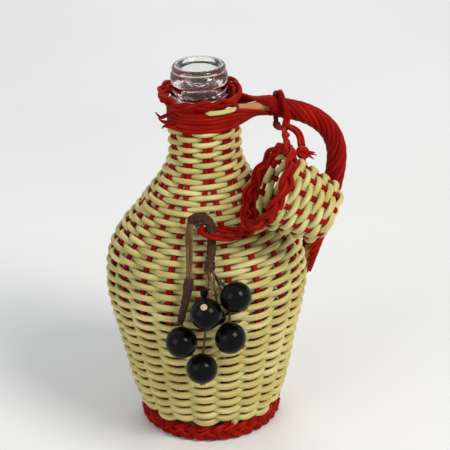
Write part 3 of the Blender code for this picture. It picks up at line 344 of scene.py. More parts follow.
def weave_tree() -> GeometryTree:
    """Builds the tree that winds weavers round a shell, in front of one stake and behind the next.

    Returns:
        The tree. Its guide is the shell's middle line as radius and height, with marks and paired.
    """
    inputs = {
        "Weavers": 2,
        "Turns": 30.5,
        "Points Per Turn": 120,
        "Start Turn": 0.0,
        "Low Waves": 10.0,
        "High Waves": 5.0,
        "Low Stake Turn": 0.0,
        "High Stake Turn": 0.0,
        "Unevenness": 0.0002,
        "Sides": 8,
        "Flatness": 0.8,
        "Seed": 0.0,
        "Material": None,
    }
    tree = GeometryTree("weave round a shell", inputs)
    profile = tree.add("GeometryNodeMeshToCurve", None, {"Mesh": tree.source.outputs["Geometry"]}).outputs[0]
    length = Value(tree, tree.add("GeometryNodeCurveLength", None, {0: profile}).outputs[0])
    line = tree.add("GeometryNodeCurvePrimitiveLine")
    count = tree.given("Turns") * tree.given("Points Per Turn") + 1.0
    line = tree.add("GeometryNodeResampleCurve", None, {"Curve": line, "Count": count})
    settings = {"domain": "SPLINE"}
    links = {"Geometry": line, "Amount": tree.given("Weavers")}
    copies = tree.add("GeometryNodeDuplicateElements", settings, links)
    number = Value(tree, copies.outputs["Duplicate Index"])
    share = Value(tree, tree.add("GeometryNodeSplineParameter").outputs["Factor"])
    rail = tree.store(copies.outputs[0], "share", share)
    rail = tree.store(rail, "weaver", number)
    share, number = Value(tree, tree.named("share")), Value(tree, tree.named("weaver"))
    turns = share * tree.given("Turns") + number / tree.given("Weavers")
    angle = tree.given("Start Turn") + turns * (2 * math.pi)

    def read_guide(name: str, kind: str) -> Node:
        """Reads an attribute of the guide where the weaver has got to.

        Args:
            name: the attribute's name.
            kind: its data type.

        Returns:
            The node that reads it.
        """
        settings = {"mode": "LENGTH", "data_type": kind, "use_all_curves": True}
        inputs = {"Curves": profile, "Value": tree.named(name, kind), "Length": share * length}
        return tree.add("GeometryNodeSampleCurve", settings, inputs)

    paired = Value(tree, read_guide("paired", "FLOAT").outputs[0])
    read = read_guide("marks", "FLOAT_VECTOR")
    wave_height, half, middle = tree.split(read.outputs[0])
    radius, _, height = tree.split(read.outputs["Position"])
    radius_step, _, height_step = tree.split(read.outputs["Tangent"])

    def swing(waves: str, turn: str) -> Value:
        """Gives the wave between the stakes, with flat crests."""
        crest = tree.math("COSINE", (angle - tree.given(turn)) * tree.given(waves))
        return crest * (1.0 + FLAT_CREST) - crest * crest * crest * FLAT_CREST

    wave = swing("Low Waves", "Low Stake Turn").toward(swing("High Waves", "High Stake Turn"), paired)
    wave = wave * (1.0 - number * 2.0)
    seed = tree.given("Seed") + number * WEAVER_SEED_STEP
    bulge = tree.noise(tree.join(turns * BULGE_RATE, 0.0, 0.0), 1.0, 1.0, seed) - 0.5
    climb = tree.noise(tree.join(turns * CLIMB_RATE, CLIMB_PLACE, 0.0), 1.0, 1.0, seed) - 0.5
    swell = tree.noise(tree.join(turns * SWELL_RATE, SWELL_PLACE, 0.0), 1.0, 1.0, seed) - 0.5
    lift = wave * wave_height * (1.0 + bulge * BULGE_SHARE)
    rise = climb * tree.given("Unevenness") * 2.0
    far = radius + height_step * lift + radius_step * rise
    tall = height - radius_step * lift + height_step * rise
    cosine, sine = tree.math("COSINE", angle), tree.math("SINE", angle)
    spot = tree.join(middle + far * cosine, far * sine, tall)
    out = tree.join(height_step * cosine, height_step * sine, -radius_step)
    half = half * (1.0 - THIN_SHARE + tree.math("ABSOLUTE", wave) * THIN_SHARE + swell * SWELL_SHARE)
    rail = tree.store(rail, "out", out, "FLOAT_VECTOR")
    rail = tree.store(rail, "half", half)
    rail = tree.store(rail, "length", turns * FIBRE_PER_TURN + number * FIBRE_PER_WEAVER)
    rail = tree.add("GeometryNodeSetPosition", None, {"Geometry": rail, "Position": spot})
    tree.sweep(rail, tree.named("half"), tree.named("length"), tree.named("out", "FLOAT_VECTOR"))
    return tree


# Lines and meshes


def signed_volume(mesh: Mesh) -> float:
    """Measures the volume inside a mesh.

    Args:
        mesh: the closed mesh.

    Returns:
        The volume, below 0 where the faces point inwards.
    """
    mesh.calc_loop_triangles()
    corners = np.empty(len(mesh.loop_triangles) * 3, np.int32)
    mesh.loop_triangles.foreach_get("vertices", corners)
    points = np.empty(len(mesh.vertices) * 3, np.float32)
    mesh.vertices.foreach_get("co", points)
    faces = points.reshape(-1, 3).astype(float)[corners].reshape(-1, 3, 3)
    return float(np.einsum("ij,ij->i", faces[:, 0], np.cross(faces[:, 1], faces[:, 2])).sum() / 6)


def smooth_step(value: Numbers) -> Numbers:
    """Goes from 0 to 1 with level ends."""
    value = np.clip(value, 0.0, 1.0)
    return value * value * (3.0 - 2.0 * value)


def read_shares(shares: Shares, value: float) -> float:
    """Reads a table of shares as one smooth curve through its points.

    Args:
        shares: places and what they bring, both from 0 to 1.
        value: the place to read at.

    Returns:
        What the place brings.
    """
    places = np.array(shares)
    slopes = np.gradient(places[:, 1], places[:, 0])
    slopes[-1] = 0.0
    value = min(max(value, 0.0), 1.0)
    k = min(int(np.searchsorted(places[:, 0], value, side="right")) - 1, len(places) - 2)
    width = places[k + 1, 0] - places[k, 0]
    t = (value - places[k, 0]) / width
    ends = (2 * t**3 - 3 * t**2 + 1) * places[k, 1] + (3 * t**2 - 2 * t**3) * places[k + 1, 1]
    turns = (t**3 - 2 * t**2 + t) * slopes[k] + (t**3 - t**2) * slopes[k + 1]
    return float(ends + turns * width)


def smooth_route(points: object, count: int) -> np.ndarray:
    """Reads evenly spaced points from a smooth curve through some places.

    Args:
        points: the places, in order.
        count: how many points are wanted.

    Returns:
        The points, one in each row.
    """
    points = np.array([tuple(point) for point in points], float)
    padded = np.vstack([2 * points[0] - points[1], points, 2 * points[-1] - points[-2]])
    fine = []
    for k in range(len(points) - 1):
        p0, p1, p2, p3 = padded[k : k + 4]
        for t in np.linspace(0.0, 1.0, ROUTE_STEPS, endpoint=False):
            a = 2 * p1 + (p2 - p0) * t
            b = (2 * p0 - 5 * p1 + 4 * p2 - p3) * t**2
            c = (3 * p1 - p0 - 3 * p2 + p3) * t**3
            fine.append(0.5 * (a + b + c))
    fine = np.array([*fine, points[-1]])
    run = run_of(fine)
    wanted = np.linspace(0.0, run[-1], count)
    return np.stack([np.interp(wanted, run, fine[:, axis]) for axis in range(3)], axis=1)


def run_of(points: np.ndarray) -> np.ndarray:
    """Gives the length from the first point to each point."""
    return np.concatenate([[0.0], np.cumsum(np.linalg.norm(np.diff(points, axis=0), axis=1))])


@dataclass
class Strand:
    """One strand: its middle line, half its width, and the direction that its flat side faces."""

    points: np.ndarray
    half: Numbers
    out: np.ndarray | Place = (0.0, -1.0, 0.0)
    closed: bool = False

    def halves(self) -> np.ndarray:
        """Gives half the width at each point."""
        return np.broadcast_to(np.asarray(self.half, float), (len(self.points),))

    def outs(self) -> np.ndarray:
        """Gives the facing direction at each point."""
        return np.broadcast_to(np.asarray(self.out, float), (len(self.points), 3))


@dataclass(frozen=True)
class StrandForm:
    """The form of a strand of cane: its waver, the steps round it and its flatness."""

    seed: float
    sides: int = 10
    flatness: float = 1.0
    wobble: float = 0.0
    wobble_scale: float = 90.0

    def inputs(self, material: Material) -> dict:
        """Gives the inputs of the strand tree.

        Args:
            material: the strand's finish.

        Returns:
            The value of each named input.
        """
        return {
            "Sides": self.sides,
            "Flatness": self.flatness,
            "Wobble": self.wobble,
            "Wobble Scale": self.wobble_scale,
            "Seed": self.seed,
            "Material": material,
        }


def guide_mesh(strands: list[Strand]) -> Mesh:
    """Makes the guide of the strand tree.

    Args:
        strands: the strands, which become one line each.

    Returns:
        The guide.
    """
    points, edges, thick, run, out, number = [], [], [], [], [], []
    for index, strand in enumerate(strands):
        first, count = len(points), len(strand.points)
        points += [tuple(point) for point in strand.points]
        edges += [(first + k, first + k + 1) for k in range(count - 1)]
        if strand.closed:
            edges.append((first + count - 1, first))
        thick += list(strand.halves())
        run += list(run_of(strand.points) + STRAND_FIBRE_STEP * index)
        out += [tuple(row) for row in strand.outs()]
        number += [float(index)] * count
    mesh = bpy.data.meshes.new("guide")
    mesh.from_pydata(points, edges, [])
    for name, kind, values in (("thick", "FLOAT", thick), ("run", "FLOAT", run), ("strand", "FLOAT", number)):
        mesh.attributes.new(name, kind, "POINT").data.foreach_set("value", np.array(values, np.float32))
    vectors = np.array(out, np.float32).ravel()
    mesh.attributes.new("out", "FLOAT_VECTOR", "POINT").data.foreach_set("vector", vectors)
    return mesh


def tapered(count: int, half: float, start: float = 1.0, end: float = 1.0, reach: float = 0.12) -> np.ndarray:
    """Gives half widths that shrink at the two ends.

    Args:
        count: how many points the strand has.
        half: half its width.
        start: the share of the width that is left at the first end.
        end: the share of the width that is left at the last end.
        reach: the share of the strand over which each end shrinks.

    Returns:
        Half the width at each point.
    """
    place = np.linspace(0.0, 1.0, count)
    head = start + (1.0 - start) * smooth_step(place / reach)
    tail = end + (1.0 - end) * smooth_step((1.0 - place) / reach)
    return half * head * tail


def shell_guide(line: np.ndarray, marks: np.ndarray, paired: Numbers = 0.0) -> Mesh:
    """Makes the guide of the weave tree.

    Args:
        line: radius and height along the shell's middle.
        marks: for each point the height of the wave, half the weaver's width, and the middle's x.
        paired: for each point whether the stakes are paired.

    Returns:
        The guide.
    """
    mesh = bpy.data.meshes.new("shell")
    points = [(float(radius), 0.0, float(height)) for radius, height in line]
    mesh.from_pydata(points, [(k, k + 1) for k in range(len(points) - 1)], [])
    values = np.asarray(marks, np.float32).ravel()
    mesh.attributes.new("marks", "FLOAT_VECTOR", "POINT").data.foreach_set("vector", values)
    switch = np.broadcast_to(np.asarray(paired, np.float32), (len(points),)).copy()
    mesh.attributes.new("paired", "FLOAT", "POINT").data.foreach_set("value", switch)
    return mesh


def flat_ring(count: int) -> tuple[np.ndarray, np.ndarray]:
    """Gives evenly spaced angles round Z, and a level vector of length 1 for each."""
    turn = np.linspace(0, 2 * math.pi, count, endpoint=False)
    return turn, np.stack([np.cos(turn), np.sin(turn), 0 * turn], axis=1)


def turned(profile: Line, segments: int) -> Mesh:
    """Turns a closed profile of radius and height about Z.

    Args:
        profile: the corners, where radius 0 stands for a pole.
        segments: the number of steps round.

    Returns:
        The mesh, closed and facing out.
    """
    solid = bmesh.new()
    rings = []
    for radius, height in profile:
        if radius <= 0.0:
            rings.append([solid.verts.new((0.0, 0.0, height))])
            continue
        angles = [2 * math.pi * k / segments for k in range(segments)]
        spots = [(radius * math.cos(a), radius * math.sin(a), height) for a in angles]
        rings.append([solid.verts.new(spot) for spot in spots])
    whole = len(rings[0]) == 1 and len(rings[-1]) == 1
    for k in range(len(rings) - 1 if whole else len(rings)):
        lower, upper = rings[k], rings[(k + 1) % len(rings)]
        for j in range(max(len(lower), len(upper))):
            corners = [lower[j % len(lower)], lower[(j + 1) % len(lower)]]
            corners += [upper[(j + 1) % len(upper)], upper[j % len(upper)]]
            distinct = list(dict.fromkeys(corners))
            if len(distinct) > 2:
                solid.faces.new(distinct)
    bmesh.ops.recalc_face_normals(solid, faces=solid.faces)
    mesh = bpy.data.meshes.new("turned")
    solid.to_mesh(mesh)
    solid.free()
    mesh.shade_smooth()
    if signed_volume(mesh) < 0:
        mesh.flip_normals()
    return mesh


class Body(Enum):
    """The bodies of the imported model."""

    BOTTLE = "bottle"
    CUP = "cup"
    BUNCH = "bunch"


class Slot(Enum):
    """The material slots of the record."""

    GLASS = "glass"
    CREAM = "peeled_cane"
    RED = "dyed_cane"
    TAN = "handle_cane"
    TAPE = "twig_tape"
    STEM = "stem_wire"
    BERRY = "berry"


def put(name: str, mesh: Mesh, body: Body, nodes: list[str]) -> None:
    """Puts a mesh in the scene as one piece.

    Args:
        name: the piece's name.
        mesh: its mesh, already in place.
        body: the body that it moves with.
        nodes: the CAD nodes that it stands for.
    """
    mesh.name = name
    piece = bpy.data.objects.new(name, mesh)
    bpy.context.scene.collection.objects.link(piece)
    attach(piece, body.value)
    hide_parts(*nodes)
    mesh.calc_loop_triangles()
    log.info("%s: %d triangles on %s", name, len(mesh.loop_triangles), body.value)


def dressed(mesh: Mesh, material: Material) -> Mesh:
    """Gives a mesh one material.

    Args:
        mesh: the mesh.
        material: its only material.

    Returns:
        The same mesh.
    """
    mesh.materials.clear()
    mesh.materials.append(material)
    return mesh


def joined(meshes: list[Mesh]) -> Mesh:
    """Joins meshes into one and keeps their materials and attributes.

    Args:
        meshes: two or more meshes.

    Returns:
        The joined mesh.
    """
    objects = [bpy.data.objects.new("part", mesh) for mesh in meshes]
    for obj in objects:
        bpy.context.scene.collection.objects.link(obj)
    with bpy.context.temp_override(active_object=objects[0], selected_editable_objects=objects):
        bpy.ops.object.join()
    mesh = objects[0].data
    bpy.data.objects.remove(objects[0], do_unlink=True)
    return mesh


# Finishes

# Sockets of the node that mixes two colours, by their place in it
MIX_SHARE, MIX_FIRST, MIX_SECOND, MIX_RESULT = 0, 6, 7, 2

# How often a pattern of cane or tape changes: across the strand both ways, and along it
STREAK_RATE, BROAD_RATE, GRAIN_RATE = (4200.0, 4200.0, 55.0), (500.0, 500.0, 45.0), (900.0, 900.0, 420.0)
CRINKLE_RATE, TEAR_RATE = (900.0, 900.0, 1500.0), (500.0, 500.0, 260.0)


def new_material(name: str) -> tuple[Material, Tree, Node]:
    """Makes a material with one Principled shader.

    Args:
        name: the material's name.

    Returns:
        The material, its tree and its shader.
    """
    material = bpy.data.materials.new(name)
    material.use_nodes = True
    material.node_tree.nodes.clear()
    tree = Tree(material.node_tree)
    shader = tree.add("ShaderNodeBsdfPrincipled")
    tree.add("ShaderNodeOutputMaterial", None, {"Surface": shader})
    return material, tree, shader


def mixed_color(tree: Tree, share: object, first: object, second: object) -> NodeSocket:
    """Mixes two colours.

    Args:
        tree: the tree that the node goes in.
        share: how much of the second colour there is, from 0 to 1.
        first: the first colour, plain or linked.
        second: the second colour, plain or linked.

    Returns:
        The mixed colour.
    """
    colors = [(*color, 1.0) if isinstance(color, tuple) else color for color in (first, second)]
    links = {MIX_SHARE: share, MIX_FIRST: colors[0], MIX_SECOND: colors[1]}
    return tree.add("ShaderNodeMix", {"data_type": "RGBA"}, links).outputs[MIX_RESULT]


@dataclass(frozen=True)
class CaneFinish:
    """Split cane: fibres along the strand, uneven tone, and small specks."""

    name: str
    color: Rgb
    deep: Rgb
    pale: Rgb
    speck: Rgb
    speck_share: float
    roughness: float
    streak_depth: float
    specular: float = 0.12

    def build(self) -> Material:
        """Builds the material, whose pattern follows the attribute fibre.

        Returns:
            The material.
        """
        material, tree, shader = new_material(self.name)
        fibre = tree.add("ShaderNodeAttribute", {"attribute_name": "fibre"}).outputs["Vector"]
        place = tree.add("ShaderNodeTexCoord").outputs["Object"]
        streak = tree.noise(tree.vector("MULTIPLY", fibre, STREAK_RATE), 1.0, 3.0)
        broad = tree.noise(tree.vector("MULTIPLY", fibre, BROAD_RATE), 1.0, 2.0, 2.0)
        patch = tree.noise(place, 60.0, 3.0, 5.0)
        full = tree.step(streak * 0.55 + broad * 0.45, 0.34, 0.66)
        tone = mixed_color(tree, full, self.deep, self.color)
        faded = tree.step(patch * 0.5 + broad * 0.5, 0.45, 0.68) * 0.75
        tone = mixed_color(tree, faded, tone, self.pale)
        grain = tree.noise(tree.vector("MULTIPLY", fibre, GRAIN_RATE), 1.0, 3.0, 7.0)
        limit = 0.78 - self.speck_share
        speck = tree.step(grain, limit, limit + 0.05)
        speck = speck * tree.step(tree.noise(place, 45.0, 2.0, 11.0), 0.5, 0.62)
        tone = mixed_color(tree, speck, tone, self.speck)
        tree.feed(shader.inputs["Base Color"], tone)
        tree.feed(shader.inputs["Roughness"], self.roughness + (streak - 0.5) * 0.25)
        links = {"Height": streak * 0.7 + grain * 0.3, "Strength": 0.8, "Distance": self.streak_depth}
        bump = tree.add("ShaderNodeBump", None, links)
        tree.feed(shader.inputs["Normal"], bump)
        shader.inputs["Specular IOR Level"].default_value = self.specular
        return material


@dataclass(frozen=True)
class TapeFinish:
    """Crepe tape: fine crinkles across the wrap, torn lighter edges."""

    name: str
    color: Rgb
    deep: Rgb
    pale: Rgb
    specular: float = 0.2

    def build(self) -> Material:
        """Builds the material.

        Returns:
            The material.
        """
        material, tree, shader = new_material(self.name)
        fibre = tree.add("ShaderNodeAttribute", {"attribute_name": "fibre"}).outputs["Vector"]
        crinkle = tree.noise(tree.vector("MULTIPLY", fibre, CRINKLE_RATE), 1.0, 4.0)
        patch = tree.noise(tree.vector("MULTIPLY", fibre, TEAR_RATE), 1.0, 3.0, 3.0)
        tone = mixed_color(tree, tree.step(crinkle, 0.36, 0.62), self.deep, self.color)
        tone = mixed_color(tree, tree.step(patch, 0.56, 0.74) * 0.8, tone, self.pale)
        tree.feed(shader.inputs["Base Color"], tone)
        tree.feed(shader.inputs["Roughness"], 0.78 + (crinkle - 0.5) * 0.3)
        bump = tree.add("ShaderNodeBump", None, {"Height": crinkle, "Strength": 0.9, "Distance": 0.0004})
        tree.feed(shader.inputs["Normal"], bump)
        shader.inputs["Specular IOR Level"].default_value = self.specular
        return material


@dataclass(frozen=True)
class BerryFinish:
    """Lacquered berry: deep gloss with soft unevenness and dust."""

    name: str
    color: Rgb
    dust: Rgb
    specular: float = 0.09

    def build(self) -> Material:
        """Builds the material.

        Returns:
            The material.
        """
        material, tree, shader = new_material(self.name)
        place = tree.add("ShaderNodeTexCoord").outputs["Object"]
        cloud = tree.noise(place, 260.0, 3.0)
        grain = tree.noise(place, 2600.0, 2.0, 4.0)
        dust = tree.step(grain, 0.64, 0.78) * tree.step(cloud, 0.45, 0.7) * 0.3
        tree.feed(shader.inputs["Base Color"], mixed_color(tree, dust, self.color, self.dust))
        tree.feed(shader.inputs["Roughness"], 0.13 + tree.step(cloud, 0.35, 0.75) * 0.14)
        relief = tree.noise(place, 420.0, 2.0, 9.0)
        bump = tree.add("ShaderNodeBump", None, {"Height": relief, "Strength": 0.5, "Distance": 0.0002})
        tree.feed(shader.inputs["Normal"], bump)
        shader.inputs["Specular IOR Level"].default_value = self.specular
        return material


@dataclass(frozen=True)
class GlassFinish:
    """Clear pressed glass with slight waves."""

    name: str
    color: Rgb
    ior: float

    def build(self) -> Material:
        """Builds the material.

        Returns:
            The material.
        """
        material, tree, shader = new_material(self.name)
        place = tree.add("ShaderNodeTexCoord").outputs["Object"]
        wave = tree.noise(tree.vector("MULTIPLY", place, (1.0, 1.0, 1.6)), 130.0, 2.0)
        smear = tree.noise(place, 60.0, 3.0, 6.0)
        shader.inputs["Base Color"].default_value = (*self.color, 1.0)
        shader.inputs["Transmission Weight"].default_value = 1.0
        shader.inputs["IOR"].default_value = self.ior
        tree.feed(shader.inputs["Roughness"], tree.step(smear, 0.5, 0.8) * 0.05)
        bump = tree.add("ShaderNodeBump", None, {"Height": wave, "Strength": 0.6, "Distance": 0.0005})
        tree.feed(shader.inputs["Normal"], bump)
        return material


@dataclass(frozen=True)
class PlainFinish:
    """A matt finish with a fine mottle, for the floor and for small dry bits."""

    name: str
    color: Rgb
    deep: Rgb
    roughness: float
    scale: float

    def build(self) -> Material:
        """Builds the material.

        Returns:
            The material.
        """
        material, tree, shader = new_material(self.name)
        place = tree.add("ShaderNodeTexCoord").outputs["Object"]
        mottle = tree.noise(place, self.scale, 4.0)
        tone = mixed_color(tree, tree.step(mottle, 0.3, 0.7), self.deep, self.color)
        tree.feed(shader.inputs["Base Color"], tone)
        tree.feed(shader.inputs["Roughness"], self.roughness + (mottle - 0.5) * 0.15)
        links = {"Height": mottle, "Strength": 0.4, "Distance": 0.06 / self.scale}
        bump = tree.add("ShaderNodeBump", None, links)
        tree.feed(shader.inputs["Normal"], bump)
        return material


@dataclass(frozen=True)
class Finishes:
    """Every material of the part."""

    cream: Material
    red: Material
    tan: Material
    tape: Material
    stem: Material
    berry: Material
    calyx: Material
    scar: Material
    dark: Material
    glass: Material


def make_finishes() -> Finishes:
    """Builds every material once.

    Returns:
        The materials by name.
    """
    return Finishes(
        cream=CaneFinish(
            "peeled cane", color=(0.60, 0.515, 0.195), deep=(0.43, 0.350, 0.11), pale=(0.71, 0.64, 0.32),
            speck=(0.17, 0.075, 0.02), speck_share=0.07, roughness=0.52, streak_depth=0.00007,
        ).build(),
        red=CaneFinish(
            "red dyed cane", color=(0.30, 0.0050, 0.0020), deep=(0.16, 0.002, 0.001),
            pale=(0.42, 0.016, 0.005), speck=(0.18, 0.008, 0.003), speck_share=0.0,
            roughness=0.50, streak_depth=0.00014, specular=0.05,
        ).build(),
        tan=CaneFinish(
            "handle cane", color=(0.52, 0.26, 0.10), deep=(0.38, 0.16, 0.05), pale=(0.64, 0.38, 0.18),
            speck=(0.16, 0.06, 0.02), speck_share=0.03, roughness=0.5, streak_depth=0.00010,
        ).build(),
        tape=TapeFinish(
            "brown crepe tape", color=(0.060, 0.022, 0.013), deep=(0.022, 0.008, 0.005),
            pale=(0.115, 0.050, 0.033),
        ).build(),
        stem=CaneFinish(
            "dried stem", color=(0.17, 0.085, 0.035), deep=(0.06, 0.028, 0.012), pale=(0.30, 0.19, 0.08),
            speck=(0.03, 0.012, 0.006), speck_share=0.05, roughness=0.6, streak_depth=0.00008,
        ).build(),
        berry=BerryFinish(
            "lacquered berry", color=(0.0022, 0.0022, 0.0022), dust=(0.035, 0.034, 0.030),
        ).build(),
        calyx=PlainFinish(
            "dried calyx", color=(0.62, 0.24, 0.02), deep=(0.36, 0.11, 0.01), roughness=0.7, scale=900.0,
        ).build(),
        scar=PlainFinish(
            "pale scar", color=(0.60, 0.46, 0.25), deep=(0.36, 0.24, 0.11), roughness=0.8, scale=1200.0,
        ).build(),
        dark=PlainFinish(
            "dark stalk", color=(0.020, 0.014, 0.012), deep=(0.009, 0.006, 0.005), roughness=0.6, scale=900.0,
        ).build(),
        glass=GlassFinish("clear glass", color=(0.90, 0.93, 0.895), ior=1.5).build(),
    )


# The bottle and its jacket


@dataclass
class Shape:
    """The surfaces under and over the weave, from the sizes of the CAD model."""

    height: float = 0.1915
    heel_radius: float = 0.0301
    heel_height: float = 0.0112
    foot_radius: float = 0.0262
    belly_radius: float = 0.04465
    belly_height: float = 0.080
    neck_radius: float = 0.0121
    neck_height: float = 0.148
    wall: float = 0.0025
    sole_height: float = 0.0063
    floor: float = 0.0042
    bore_radius: float = 0.00915
    stake_gap: float = 0.0005
    stake_radius: float = 0.0012
    stake_neck_radius: float = 0.0010
    body_thickness: float = 0.0033
    neck_thickness: float = 0.0020
    jacket_lean: float = 0.0017
    jacket_top: float = 0.1617
    rim_bottom: float = 0.1734
    rim_top: float = 0.1796
    rim_outer: float = 0.0203
    stake_turn: float = math.radians(5.0)
    stake_count: int = 20
    pair_turn: float = math.radians(14.0)
    pair_start: float = 0.120
    pair_length: float = 0.020
    pair_gap_half: float = 0.00115
    pair_radius: float = 0.0153
    body_shares: Shares = (
        (0.0, 0.0), (0.164, 0.244), (0.376, 0.441), (0.590, 0.651), (0.801, 0.868), (1.0, 1.0),
    )
    shoulder_shares: Shares = (
        (0.0, 0.0), (0.156, 0.033), (0.307, 0.142), (0.444, 0.368),
        (0.593, 0.588), (0.750, 0.820), (0.900, 0.965), (1.0, 1.0),
    )

    def __post_init__(self) -> None:
        """Samples the side of the glass, its outward direction and the jacket's outer line."""
        heights = np.linspace(self.heel_height, self.jacket_top, 241)
        self.side = np.array([(self.glass_radius(height), height) for height in heights])
        along = np.gradient(self.side, axis=0)
        along /= np.linalg.norm(along, axis=1)[:, None]
        self.out = np.stack([along[:, 1], -along[:, 0]], axis=1)
        self.outer = self.offset(0.0)

    def glass_radius(self, height: float) -> float:
        """Gives the outer radius of the glass from its heel to its neck.

        Args:
            height: where it is read.

        Returns:
            The radius.
        """
        if height <= self.belly_height:
            share = (height - self.heel_height) / (self.belly_height - self.heel_height)
            growth = self.belly_radius - self.heel_radius
            return self.heel_radius + growth * read_shares(self.body_shares, share)
        share = (height - self.belly_height) / (self.neck_height - self.belly_height)
        loss = self.belly_radius - self.neck_radius
        return self.belly_radius - loss * read_shares(self.shoulder_shares, share)

    def upper(self, height: Numbers) -> Numbers:
        """Says how far a height is on the way from the belly to the neck."""
        return smooth_step((height - self.belly_height) / (self.neck_height - self.belly_height))

    def lean(self, height: Numbers) -> Numbers:
        """Says how far the jacket's middle lies towards the handle."""
        return self.jacket_lean * self.upper(height)

    def offset(self, inwards: Numbers) -> np.ndarray:
        """Gives a line inside the jacket's outer line.

        Args:
            inwards: how far inside it lies.

        Returns:
            Radius and height along the line.
        """
        share = self.upper(self.side[:, 1])
        stake = self.stake_radius + (self.stake_neck_radius - self.stake_radius) * share
        cover = self.body_thickness + (self.neck_thickness - self.body_thickness) * share
        depth = 2 * self.stake_gap + 2 * stake + self.jacket_lean * share + cover - inwards
        return self.side + self.out * depth[:, None]

    def radius(self, height: Numbers) -> Numbers:
        """Gives the jacket's outer radius at a height."""
        return np.interp(height, self.outer[:, 1], self.outer[:, 0])

    def slope(self, height: float) -> float:
        """Gives how fast the outer radius changes with height."""
        return float(self.radius(height + self.wall) - self.radius(height - self.wall)) / (2 * self.wall)

    def spot(self, azimuth: float, height: float, lift: float) -> Vector:
        """Gives a place off the jacket.

        Args:
            azimuth: its direction round the bottle.
            height: the height on the jacket that it is measured from.
            lift: how far off the jacket it lies, square to it.

        Returns:
            The place.
        """
        slope = self.slope(height)
        tilt = math.hypot(1.0, slope)
        distance = float(self.radius(height)) + lift / tilt
        x = float(self.lean(height)) + distance * math.cos(azimuth)
        return Vector((x, distance * math.sin(azimuth), height - slope * lift / tilt))

    def face(self, point: Vector) -> Vector:
        """Gives the direction square off the jacket.

        Args:
            point: the place that it is read at.

        Returns:
            The direction.
        """
        azimuth = math.atan2(point[1], point[0] - float(self.lean(point[2])))
        out = Vector((math.cos(azimuth), math.sin(azimuth), -self.slope(float(point[2]))))
        return out.normalized()

    def gap(self, point: Vector) -> float:
        """Gives the free distance to the jacket.

        Args:
            point: the place that it is measured from.

        Returns:
            The distance, below 0 inside the jacket.
        """
        height = min(max(point[2], float(self.outer[0, 1])), self.rim_top)
        radius = self.rim_outer if height > self.jacket_top else float(self.radius(height))
        distance = math.hypot(point[0] - float(self.lean(height)), point[1]) - radius
        return distance / math.hypot(1.0, self.slope(height))

    def stake_angle(self, index: int, height: float) -> float:
        """Gives the direction of a stake, which closes up to its partner at the neck.

        Args:
            index: which stake it is.
            height: where it is read.

        Returns:
            The direction.
        """
        single = self.stake_turn + 2 * math.pi * index / self.stake_count
        sign = 1.0 if index % 2 == 0 else -1.0
        half_pair = self.pair_gap_half / self.pair_radius
        paired = single + sign * (math.pi / self.stake_count - half_pair)
        closed = float(smooth_step((height - self.pair_start) / self.pair_length))
        return single + (paired - single) * closed


